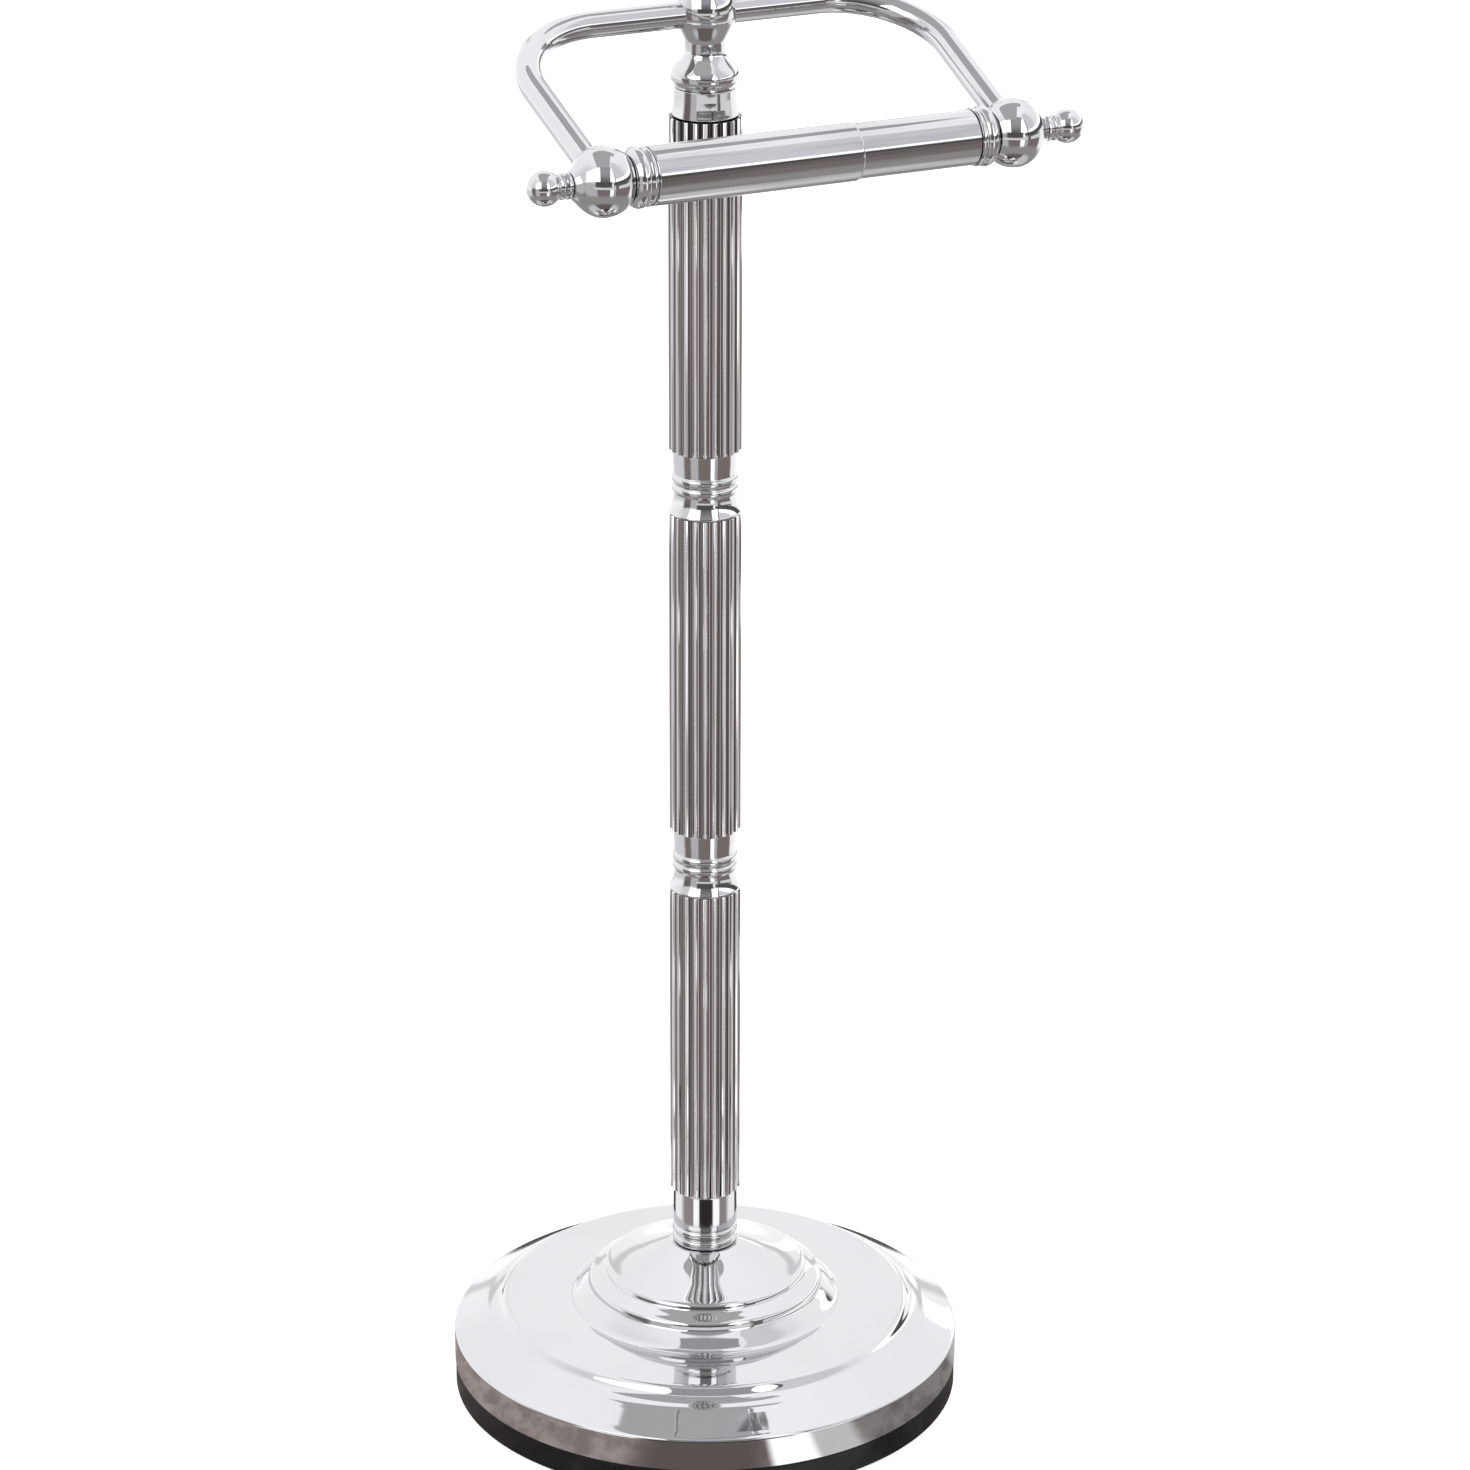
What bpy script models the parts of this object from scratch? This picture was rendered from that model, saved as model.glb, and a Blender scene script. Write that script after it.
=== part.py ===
"""Freestanding toilet paper holder: weighted round foot, fluted column and a sprung roller between two arms.

Run it with blender --background --python part.py, or from Blender's text editor.
Units are metres and +Z is up. The origin is on the column's axis at the level of the floor.
The roller lies along X, in front of the column, which is towards -Y.
"""

import math

import bmesh
import bpy
from mathutils import Matrix, Vector

# Clearances that every seat and every cut shares
seat_gap = 0.0003
pin_clearance = 0.0003
slip_clearance = 0.0002
cut_overrun = 0.002
merge_distance = 0.00001

# Foot: rubber pad, cast weight and pressed cover
pad_thickness = 0.0008
pad_radius = 0.096
cover_radius = 0.1015
cover_wall = 0.0012
cover_edge_height = 0.0118
plateau_height = 0.0378
plateau_radius = 0.0793
dome_foot_radius = 0.0515
dome_seat_radius = 0.014
dome_seat_height = 0.062
foot_groove_depth = 0.0008
foot_groove_width = 0.0032
weight_inset = 0.0003
weight_lip_height = 0.0065
weight_post_radius = 0.0115
weight_flare_radius = 0.034
weight_flare_height = 0.012
weight_edge = 0.0006
recess_radius = 0.020
recess_depth = 0.014

# Tie rod and its fastening under the weight
rod_radius = 0.004
rod_clearance = 0.0003
rod_end_height = 0.003
washer_radius = 0.012
washer_thickness = 0.0016
spring_washer_radius = 0.0072
spring_washer_thickness = 0.0018
nut_width = 0.013
nut_height = 0.0065

# Column: three fluted tubes on turned collars
tube_length = 0.130
tube_radius = 0.01415
tube_bore_radius = 0.0121
flute_count = 22
flute_depth = 0.0009
flute_radius = 0.00175
joiner_length = 0.0249
base_collar_length = 0.0234
base_collar_radius = 0.0129
top_collar_length = 0.0107
top_collar_foot_radius = 0.01245
top_collar_head_radius = 0.0116
spigot_length = 0.008
joiner_bead_radius = 0.01295
joiner_bell_radius = 0.0140

# Head: vase neck, hub ball and finial
vase_length = 0.0157
vase_radius = 0.01315
vase_waist_radius = 0.0076
hub_cup_length = 0.0100
hub_cup_radius = 0.01135
hub_ball_radius = 0.0112
ball_rise_over_cup = 0.0027
ball_rise_over_arms = 0.0012
finial_seat_radius = 0.0056
finial_neck_length = 0.0062
finial_bead_radius = 0.0066
finial_neck_radius = 0.0056
finial_ball_radius = 0.0076
finial_thread_depth = 0.009

# Arms: bent rods from the hub to the bulbs
arm_radius = 0.005
arm_half_width = 0.0837
arm_reach = 0.0906
arm_drop = 0.0325
arm_bend_radius = 0.0371
arm_socket_start = 0.0090
arm_stud_radius = 0.003
arm_stud_length = 0.0038

# Bulbs and knobs at the roller's ends
bulb_half_spacing = 0.08146
bulb_radius = 0.0129
bulb_inner_length = 0.0093
bulb_outer_length = 0.0122
bulb_mouth_radius = 0.0053
bulb_socket_start = 0.0078
pin_radius = 0.003
pin_hole_depth = 0.0063
knob_stud_radius = 0.0022
knob_stud_length = 0.0065
knob_neck_length = 0.0049
knob_neck_radius = 0.0049
knob_ball_radius = 0.00635

# Roller: telescoping tubes, end caps and spring
roller_end_play = 0.0004
roller_pin_length = 0.0056
cap_length = 0.0078
cap_ring_radius = 0.01115
cap_spigot_length = 0.006
outer_tube_radius = 0.0107
outer_tube_wall = 0.0004
inner_tube_wall = 0.0006
seam_offset = 0.0165
tube_overlap = 0.0245
spring_coil_radius = 0.0070
spring_wire_radius = 0.0005
spring_coils = 9
spring_end_share = 0.55

# Outline shares: radius and height along a turned piece, from its top to its foot
dome_shares = (
    (0.107, 0.926), (0.427, 0.715), (0.640, 0.612), (0.688, 0.583), (0.712, 0.541),
    (0.752, 0.500), (0.832, 0.463), (0.869, 0.405), (0.891, 0.322), (0.907, 0.252),
    (0.939, 0.202), (0.968, 0.140), (0.987, 0.066), (1.000, 0.000),
)
band_shares = (
    (0.077, 0.977), (0.122, 0.924), (0.167, 0.870), (0.266, 0.821), (0.414, 0.775),
    (0.865, 0.576), (0.959, 0.531), (0.991, 0.500), (1.000, 0.466), (1.000, 0.000),
)
base_collar_shares = (
    (0.985, 1.000), (0.985, 0.350), (0.935, 0.325), (0.985, 0.290), (1.010, 0.235),
    (0.985, 0.175), (0.935, 0.150), (0.985, 0.125), (1.010, 0.070), (0.985, 0.000),
)
joiner_neck_shares = (
    (0.958, 1.000), (0.930, 0.645), (0.975, 0.610), (1.000, 0.570), (0.975, 0.500),
    (0.946, 0.470), (0.975, 0.440), (1.000, 0.395), (0.975, 0.345), (0.928, 0.320),
    (0.926, 0.270),
)
joiner_bell_shares = ((0.882, 0.190), (0.925, 0.110), (0.980, 0.035), (1.000, 0.000))
vase_shares = (
    (0.578, 1.000), (0.582, 0.880), (0.640, 0.730), (0.770, 0.590), (0.905, 0.460),
    (0.980, 0.360), (1.000, 0.265), (0.985, 0.170), (0.930, 0.085), (0.885, 0.060),
    (0.885, 0.000),
)
hub_cup_shares = ((1.000, 0.930), (0.920, 0.730), (0.810, 0.500), (0.700, 0.200))
bulb_outer_shares = (
    (0.975, 0.200), (0.905, 0.395), (0.790, 0.575), (0.645, 0.720), (0.510, 0.840), (0.435, 0.935),
)
bulb_inner_shares = ((0.985, 0.250), (0.930, 0.500), (0.840, 0.745), (0.745, 0.925), (0.700, 1.000))
cap_shares = (
    (0.800, 1.000), (0.865, 0.925), (0.975, 0.745), (1.000, 0.580), (0.975, 0.415),
    (0.910, 0.320), (0.965, 0.190), (0.935, 0.000),
)
neck_bead_share = 0.9

# Facets round each kind of piece
cover_sides = 40
collar_sides = 24
knob_sides = 20
roller_sides = 32
small_sides = 16
flute_sides = 12
crease_angle = math.radians(32)


def remove_old_objects():
    for old in list(bpy.data.objects):
        bpy.data.objects.remove(old, do_unlink=True)


def new_collection(name):
    collection = bpy.data.collections.new(name)
    bpy.context.scene.collection.children.link(collection)
    return collection


remove_old_objects()
parts = new_collection("toilet_paper_holder")
cutters = new_collection("cutters")


# Materials
def principled(name, color, metallic, roughness):
    material = bpy.data.materials.new(name)
    material.use_nodes = True
    shader = material.node_tree.nodes["Principled BSDF"]
    shader.inputs["Base Color"].default_value = (*color, 1)
    shader.inputs["Metallic"].default_value = metallic
    shader.inputs["Roughness"].default_value = roughness
    material.diffuse_color = (*color, 1)
    return material


def chrome(name):
    return principled(name, (0.80, 0.80, 0.82), 1, 0.06)


def steel(name):
    return principled(name, (0.56, 0.56, 0.55), 1, 0.35)


def black_iron(name):
    return principled(name, (0.03, 0.03, 0.03), 0, 0.5)


def rubber(name):
    return principled(name, (0.05, 0.05, 0.05), 0, 0.85)


# Ways of making a piece
def add_part(name, data, finish):
    piece = bpy.data.objects.new(name, data)
    parts.objects.link(piece)
    data.materials.clear()
    data.materials.append(finish(name))
    return piece


def add_cutter(name, data, place=None):
    cutter = bpy.data.objects.new(name, data)
    cutters.objects.link(cutter)
    cutter.display_type = "WIRE"
    cutter.hide_render = True
    if place is not None:
        cutter.matrix_world = place
    return cutter


def profile_mesh(name, outline, closed):
    count = len(outline)
    edges = [(i, (i + 1) % count) for i in range(count if closed else count - 1)]
    mesh = bpy.data.meshes.new(name)
    mesh.from_pydata([(radius, 0, height) for radius, height in outline], edges, [])
    return mesh


def turned(name, outline, finish, sides, closed=True):
    """Turns an outline about Z. Its outer side runs from the top down, and a closed one comes back up the bore."""
    piece = add_part(name, profile_mesh(name, outline, closed), finish)
    screw = piece.modifiers.new("Turn", "SCREW")
    screw.axis = "Z"
    screw.angle = math.tau
    screw.steps = sides
    screw.render_steps = sides
    screw.use_merge_vertices = True
    screw.merge_threshold = merge_distance
    screw.use_smooth_shade = True
    return piece


def cylinder_mesh(name, radius, length, sides):
    """A cylinder along Z from the origin up."""
    mesh = bpy.data.meshes.new(name)
    bm = bmesh.new()
    bmesh.ops.create_cone(
        bm, cap_ends=True, segments=sides, radius1=radius, radius2=radius, depth=length,
        matrix=Matrix.Translation((0, 0, length / 2)),
    )
    bm.to_mesh(mesh)
    bm.free()
    return mesh


def along(start, direction):
    """The placement that sends the Z axis from start along direction."""
    turn = Vector(direction).to_track_quat("Z", "Y").to_matrix().to_4x4()
    return Matrix.Translation(start) @ turn


def combine(piece, tool, operation):
    boolean = piece.modifiers.new(tool.name, "BOOLEAN")
    boolean.operation = operation
    boolean.solver = "EXACT"
    boolean.object = tool


def drill(piece, name, radius, start, direction, length, sides):
    """Cuts a round hole that begins at start and runs along direction, in the row's own coordinates."""
    mesh = cylinder_mesh(name, radius, length, sides)
    combine(piece, add_cutter(name, mesh, along(start, direction)), "DIFFERENCE")


def mesh_from(curve_object):
    """Turns a curve object into a mesh object of the same name with its caps welded on."""
    bpy.context.view_layer.update()
    depsgraph = bpy.context.evaluated_depsgraph_get()
    mesh = bpy.data.meshes.new_from_object(curve_object.evaluated_get(depsgraph))
    bm = bmesh.new()
    bm.from_mesh(mesh)
    bmesh.ops.remove_doubles(bm, verts=bm.verts, dist=merge_distance)
    bm.to_mesh(mesh)
    bm.free()
    name = curve_object.name
    place = curve_object.matrix_world.copy()
    curve = curve_object.data
    bpy.data.objects.remove(curve_object, do_unlink=True)
    bpy.data.curves.remove(curve)
    piece = bpy.data.objects.new(name, mesh)
    parts.objects.link(piece)
    piece.matrix_world = place
    return piece


def rod(name, points, radius, bevel_resolution, finish):
    """A round bar through points, with flat ends."""
    curve = bpy.data.curves.new(name, "CURVE")
    curve.dimensions = "3D"
    curve.bevel_depth = radius
    curve.bevel_resolution = bevel_resolution
    curve.use_fill_caps = True
    spline = curve.splines.new("POLY")
    spline.points.add(len(points) - 1)
    for place, point in zip(spline.points, points):
        place.co = (*point, 1)
    return mesh_from(add_part(name, curve, finish))


def scaled(shares, radius, bottom, length):
    """Outline points from shares of a radius and of a length above a bottom."""
    return [(r_share * radius, bottom + h_share * length) for r_share, h_share in shares]


def offset_points(outline, distance, kept):
    """The kept points of an outline, moved inwards by distance, square to the outline."""
    moved = []
    for i in kept:
        before = Vector(outline[max(i - 1, 0)])
        after = Vector(outline[min(i + 1, len(outline) - 1)])
        run = (after - before).normalized()
        inwards = Vector((run.y, -run.x))
        moved.append(tuple(Vector(outline[i]) + inwards * distance))
    return moved


# Heights along the column's axis
weight_bottom = pad_thickness + seat_gap
weight_ledge = cover_edge_height - seat_gap
recess_ceiling = weight_bottom + recess_depth
rod_hole_radius = rod_radius + rod_clearance
base_collar_bottom = dome_seat_height + seat_gap
tube_bottoms = [
    base_collar_bottom + base_collar_length + seat_gap + i * (tube_length + joiner_length + 2 * seat_gap)
    for i in range(3)
]
tube_tops = [bottom + tube_length for bottom in tube_bottoms]
top_collar_bottom = tube_tops[2] + seat_gap
vase_bottom = top_collar_bottom + top_collar_length + seat_gap
hub_bottom = vase_bottom + vase_length + seat_gap
ball_height = hub_bottom + hub_cup_length + ball_rise_over_cup
arm_height = ball_height - ball_rise_over_arms
roller_height = arm_height - arm_drop
finial_seat_height = ball_height + math.sqrt(hub_ball_radius**2 - finial_seat_radius**2)
finial_bottom = finial_seat_height + seat_gap


# Floor pad: thin rubber ring under the weight
def make_floor_pad():
    inner = recess_radius + weight_edge
    outline = [(pad_radius, pad_thickness), (pad_radius, 0), (inner, 0), (inner, pad_thickness)]
    return turned("floor_pad", outline, rubber, cover_sides)


# Base weight: cast disc with a lip under the cover's edge and a post up to the dome
def make_base_weight():
    radius = cover_radius - weight_inset
    lip_radius = cover_radius - cover_wall - seat_gap
    lip_top = weight_ledge + weight_lip_height
    post_top = dome_seat_height - cover_wall - seat_gap
    outline = [
        (weight_post_radius, post_top),
        (weight_post_radius, lip_top + weight_flare_height),
        (weight_flare_radius, lip_top),
        (lip_radius - weight_edge, lip_top),
        (lip_radius, lip_top - weight_edge),
        (lip_radius, weight_ledge),
        (radius, weight_ledge),
        (radius, weight_bottom + weight_edge),
        (radius - weight_edge, weight_bottom),
        (recess_radius, weight_bottom),
        (recess_radius, recess_ceiling),
        (rod_hole_radius, recess_ceiling),
        (rod_hole_radius, post_top),
    ]
    return turned("base_weight", outline, black_iron, cover_sides)


# Base cover: pressed shell with a stepped dome, a plateau, a cove and an upright rim
def make_base_cover():
    dome_width = dome_foot_radius - dome_seat_radius
    dome_rise = dome_seat_height - plateau_height
    band_width = cover_radius - plateau_radius
    band_rise = plateau_height - cover_edge_height
    outline = [(rod_hole_radius, dome_seat_height), (dome_seat_radius, dome_seat_height)]
    for r_share, h_share in dome_shares:
        outline.append((dome_seat_radius + r_share * dome_width, plateau_height + h_share * dome_rise))
    groove_radius = dome_foot_radius + foot_groove_width / 2
    outline.append((groove_radius, plateau_height - foot_groove_depth))
    outline.append((dome_foot_radius + foot_groove_width, plateau_height))
    outline.append((plateau_radius, plateau_height))
    for r_share, h_share in band_shares:
        outline.append((plateau_radius + r_share * band_width, cover_edge_height + h_share * band_rise))
    lining = offset_points(outline, cover_wall, kept=(28, 25, 21, 18, 16, 15, 8, 1, 0))
    return turned("base_cover", outline + lining, chrome, cover_sides)


# Collars: turned pieces with a bore for the rod and spigots into the tubes
def bored(outline):
    """Closes an outline with the rod's hole."""
    top = outline[0][1]
    bottom = outline[-1][1]
    return outline + [(rod_hole_radius, bottom), (rod_hole_radius, top)]


def upper_spigot(top):
    radius = tube_bore_radius - seat_gap
    return [(radius, top + spigot_length), (radius, top)]


def lower_spigot(bottom):
    radius = tube_bore_radius - seat_gap
    return [(radius, bottom), (radius, bottom - spigot_length)]


def make_base_collar():
    body = scaled(base_collar_shares, base_collar_radius, base_collar_bottom, base_collar_length)
    return turned("base_collar", bored(upper_spigot(body[0][1]) + body), chrome, collar_sides)


def make_joiner(name, bottom):
    neck = scaled(joiner_neck_shares, joiner_bead_radius, bottom, joiner_length)
    bell = scaled(joiner_bell_shares, joiner_bell_radius, bottom, joiner_length)
    body = upper_spigot(neck[0][1]) + neck + bell + lower_spigot(bottom)
    return turned(name, bored(body), chrome, collar_sides)


def make_top_collar():
    top = top_collar_bottom + top_collar_length
    body = [(top_collar_head_radius, top), (top_collar_foot_radius, top_collar_bottom)]
    outline = bored(body + lower_spigot(top_collar_bottom))
    return turned("top_collar", outline, chrome, collar_sides)


# Fluted tubes: a plain tube cut by a ring of long round cutters
def flute_cutter(name, bottom):
    mesh = bpy.data.meshes.new(name)
    bm = bmesh.new()
    centre_radius = tube_radius - flute_depth + flute_radius
    length = tube_length + 2 * cut_overrun
    for i in range(flute_count):
        angle = math.tau * (i + 1 / 2) / flute_count
        turn = Matrix.Rotation(angle, 4, "Z")
        shift = Matrix.Translation((centre_radius, 0, bottom + tube_length / 2))
        bmesh.ops.create_cone(
            bm, cap_ends=True, segments=flute_sides, radius1=flute_radius, radius2=flute_radius,
            depth=length, matrix=turn @ shift,
        )
    bm.to_mesh(mesh)
    bm.free()
    return add_cutter(name, mesh)


def make_tube(name, bottom):
    top = bottom + tube_length
    outline = [
        (tube_radius, top), (tube_radius, bottom),
        (tube_bore_radius, bottom), (tube_bore_radius, top),
    ]
    piece = turned(name, outline, chrome, flute_count)
    combine(piece, flute_cutter(name + "_flutes", bottom), "DIFFERENCE")
    return piece


# Head: neck, hub and finial on top of the column
def make_vase_neck():
    outline = scaled(vase_shares, vase_radius, vase_bottom, vase_length)
    return turned("vase_neck", bored(outline), chrome, collar_sides)


def make_hub():
    cup_top = hub_bottom + hub_cup_length
    crown = math.asin(finial_seat_radius / hub_ball_radius)
    brim = math.acos((cup_top - ball_height) / hub_ball_radius)
    arcs = 9
    ball = []
    for i in range(arcs + 1):
        angle = crown + (brim - crown) * i / arcs
        ball.append((hub_ball_radius * math.sin(angle), ball_height + hub_ball_radius * math.cos(angle)))
    cup = scaled(hub_cup_shares, hub_cup_radius, hub_bottom, hub_cup_length)
    foot = [(vase_waist_radius, hub_bottom)]
    piece = turned("hub", bored(ball + cup + foot), chrome, collar_sides)
    for side, word in ((-1, "left"), (1, "right")):
        drill(
            piece, word + "_arm_socket", arm_radius + seat_gap,
            (side * (arm_socket_start - seat_gap), 0, arm_height), (side, 0, 0),
            hub_cup_radius + cut_overrun, small_sides,
        )
        drill(
            piece, word + "_stud_hole", arm_stud_radius + seat_gap,
            (0, 0, arm_height), (side, 0, 0), arm_socket_start + cut_overrun, small_sides,
        )
    return piece


def make_finial():
    neck_top = finial_bottom + finial_neck_length
    ball_centre = neck_top + math.sqrt(finial_ball_radius**2 - finial_neck_radius**2)
    arcs = 9
    lowest = math.pi - math.asin(finial_neck_radius / finial_ball_radius)
    outline = []
    for i in range(arcs + 1):
        angle = lowest * i / arcs
        outline.append((
            finial_ball_radius * math.sin(angle), ball_centre + finial_ball_radius * math.cos(angle),
        ))
    bead_height = finial_neck_length / 3
    outline += [
        (finial_neck_radius * neck_bead_share, neck_top - bead_height),
        (finial_bead_radius, finial_bottom + bead_height),
        (finial_neck_radius, finial_bottom),
        (rod_hole_radius, finial_bottom),
        (rod_hole_radius, finial_bottom + finial_thread_depth),
        (0, finial_bottom + finial_thread_depth),
    ]
    return turned("top_finial", outline, chrome, knob_sides, closed=False)


# Tie rod: clamps the stack between the finial and the nut under the weight
def make_tie_rod():
    top = finial_bottom + finial_thread_depth - seat_gap
    mesh = cylinder_mesh("tie_rod", rod_radius, top - rod_end_height, small_sides)
    piece = add_part("tie_rod", mesh, steel)
    piece.location = (0, 0, rod_end_height)
    return piece


def make_washer(name, radius, thickness, top):
    outline = [
        (radius, top), (radius, top - thickness),
        (rod_hole_radius, top - thickness), (rod_hole_radius, top),
    ]
    return turned(name, outline, steel, small_sides)


def make_fastening():
    washer_top = recess_ceiling - seat_gap
    make_washer("base_washer", washer_radius, washer_thickness, washer_top)
    spring_top = washer_top - washer_thickness - seat_gap
    make_washer("spring_washer", spring_washer_radius, spring_washer_thickness, spring_top)
    nut_top = spring_top - spring_washer_thickness - seat_gap
    corner_radius = nut_width / math.sqrt(3)
    nut = add_part("base_nut", cylinder_mesh("base_nut", corner_radius, nut_height, 6), steel)
    nut.location = (0, 0, nut_top - nut_height)
    drill(
        nut, "nut_thread", rod_hole_radius, (0, 0, nut_top - nut_height - cut_overrun),
        (0, 0, 1), nut_height + 2 * cut_overrun, small_sides,
    )


# Arms: a straight run from the hub, a round bend and a straight run down to the bulb
def bulb_centre(side):
    return Vector((side * bulb_half_spacing, -arm_reach, roller_height))


def arm_points(side):
    start = Vector((side * arm_socket_start, 0, arm_height))
    corner = Vector((side * arm_half_width, 0, arm_height))
    target = bulb_centre(side)
    back = (start - corner).normalized()
    down = (target - corner).normalized()
    opening = back.angle(down)
    reach = arm_bend_radius / math.tan(opening / 2)
    centre = corner + (back + down).normalized() * (arm_bend_radius / math.sin(opening / 2))
    first = corner + back * reach - centre
    axis = first.cross(corner + down * reach - centre).normalized()
    sweep = math.pi - opening
    arcs = 9
    points = [start]
    for i in range(arcs + 1):
        points.append(centre + Matrix.Rotation(sweep * i / arcs, 3, axis) @ first)
    points.append(target - down * bulb_socket_start)
    return points


def make_arm(side, word):
    points = arm_points(side)
    arm = rod(word + "_arm", points, arm_radius, 5, chrome)
    stud = cylinder_mesh(word + "_arm_stud", arm_stud_radius, arm_stud_length + cut_overrun, small_sides)
    start = points[0] + Vector((side * cut_overrun, 0, 0))
    combine(arm, add_cutter(word + "_arm_stud", stud, along(start, (-side, 0, 0))), "UNION")
    return arm


# Bulbs and knobs: turned about the roller's axis, with local +Z pointing away from the roller
def on_roller_axis(piece, side, distance):
    piece.location = (side * distance, -arm_reach, roller_height)
    piece.rotation_euler = (0, side * math.pi / 2, 0)


def make_bulb(side, word):
    outer = scaled(reversed(bulb_outer_shares), bulb_radius, 0, bulb_outer_length)
    inner = scaled(bulb_inner_shares, bulb_radius, 0, -bulb_inner_length)
    stud_hole_radius = knob_stud_radius + seat_gap
    stud_hole_bottom = bulb_outer_length - knob_stud_length - seat_gap
    pin_hole_radius = pin_radius + pin_clearance
    pin_hole_bottom = -bulb_inner_length + pin_hole_depth
    outline = [(0, stud_hole_bottom), (stud_hole_radius, stud_hole_bottom)]
    outline.append((stud_hole_radius, bulb_outer_length))
    outline.append((bulb_mouth_radius * neck_bead_share, bulb_outer_length))
    outline += outer + [(bulb_radius, 0)] + inner
    outline += [(pin_hole_radius, -bulb_inner_length), (pin_hole_radius, pin_hole_bottom)]
    outline.append((0, pin_hole_bottom))
    piece = turned(word + "_bulb", outline, chrome, collar_sides, closed=False)
    on_roller_axis(piece, side, bulb_half_spacing)
    points = arm_points(side)
    back = (points[-2] - points[-1]).normalized()
    drill(
        piece, word + "_arm_hole", arm_radius + seat_gap, points[-1] - back * seat_gap,
        back, bulb_radius + cut_overrun, small_sides,
    )
    return piece


def make_knob(side, word):
    neck_end = knob_neck_length
    ball_centre = neck_end + math.sqrt(knob_ball_radius**2 - (knob_neck_radius * neck_bead_share) ** 2)
    arcs = 8
    lowest = math.pi - math.asin(knob_neck_radius * neck_bead_share / knob_ball_radius)
    outline = []
    for i in range(arcs + 1):
        angle = lowest * i / arcs
        outline.append((knob_ball_radius * math.sin(angle), ball_centre + knob_ball_radius * math.cos(angle)))
    outline += [
        (knob_neck_radius, neck_end * 2 / 3),
        (knob_neck_radius * neck_bead_share, neck_end / 2),
        (knob_neck_radius, neck_end / 3),
        (knob_neck_radius, 0),
        (knob_stud_radius, 0),
        (knob_stud_radius, -knob_stud_length),
        (0, -knob_stud_length),
    ]
    piece = turned(word + "_knob", outline, chrome, knob_sides, closed=False)
    on_roller_axis(piece, side, bulb_half_spacing + bulb_outer_length + seat_gap)
    return piece


# Roller: the caps face the bulbs, the tubes slide in each other and the spring pushes them apart
cap_face = bulb_half_spacing - bulb_inner_length - roller_end_play
tube_end = cap_face - cap_length - seat_gap
outer_bore_radius = outer_tube_radius - outer_tube_wall
inner_tube_radius = outer_bore_radius - slip_clearance
inner_bore_radius = inner_tube_radius - inner_tube_wall


def make_cap(side, word, bore_radius):
    body = scaled(cap_shares, cap_ring_radius, -cap_length, cap_length)
    spigot_radius = bore_radius - seat_gap
    outline = [
        (0, roller_pin_length), (pin_radius * neck_bead_share, roller_pin_length),
        (pin_radius, roller_pin_length * neck_bead_share), (pin_radius, 0),
    ]
    outline += body
    outline += [
        (spigot_radius, -cap_length), (spigot_radius, -cap_length - cap_spigot_length),
        (0, -cap_length - cap_spigot_length),
    ]
    piece = turned("roller_" + word + "_cap", outline, chrome, collar_sides, closed=False)
    on_roller_axis(piece, side, cap_face)
    return piece


def make_roller_tubes():
    outer = turned(
        "roller_outer_tube",
        [
            (outer_tube_radius, tube_end), (outer_tube_radius, -seam_offset),
            (outer_bore_radius, -seam_offset), (outer_bore_radius, tube_end),
        ],
        chrome, roller_sides,
    )
    on_roller_axis(outer, -1, 0)
    inner_end = seam_offset - tube_overlap
    inner = turned(
        "roller_inner_tube",
        [
            (inner_tube_radius, tube_end), (inner_tube_radius, inner_end), (0, inner_end),
            (0, inner_end + inner_tube_wall), (inner_bore_radius, inner_end + inner_tube_wall),
            (inner_bore_radius, tube_end), (inner_tube_radius, tube_end),
        ],
        chrome, roller_sides, closed=False,
    )
    on_roller_axis(inner, 1, 0)


def least_gap(points, points_a_curl, wire_radius):
    """The smallest clear distance between points of a coil that are half a curl or more apart."""
    nearest = math.inf
    for i, point in enumerate(points):
        for other in points[i + points_a_curl // 2:]:
            nearest = min(nearest, (other - point).length)
    return nearest - 2 * wire_radius


def make_roller_spring():
    points_a_curl = 8
    left_stop = -(cap_face - cap_length - cap_spigot_length) + seat_gap + spring_wire_radius
    right_stop = seam_offset - tube_overlap - seat_gap - spring_wire_radius
    count = spring_coils * points_a_curl
    points = []
    for i in range(count + 1):
        angle = math.tau * i / points_a_curl
        whole = math.tau * i / count
        share = (whole - spring_end_share * math.sin(whole)) / math.tau
        along_axis = left_stop + (right_stop - left_stop) * share
        points.append(Vector((
            along_axis, spring_coil_radius * math.cos(angle), spring_coil_radius * math.sin(angle),
        )))
    print("roller_spring least gap between curls, m:", least_gap(points, points_a_curl, spring_wire_radius))
    piece = rod("roller_spring", points, spring_wire_radius, 1, steel)
    piece.location = (0, -arm_reach, roller_height)
    return piece


def shade_pieces():
    """Keeps each piece as the mesh that its modifiers make, smooth on its round sides and sharp at its creases."""
    bpy.context.view_layer.update()
    depsgraph = bpy.context.evaluated_depsgraph_get()
    shaded = [(piece, bpy.data.meshes.new_from_object(piece.evaluated_get(depsgraph))) for piece in parts.objects]
    for piece, mesh in shaded:
        piece.modifiers.clear()
        piece.data = mesh
        mesh.shade_smooth()
        mesh.set_sharp_from_angle(angle=crease_angle)


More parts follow.
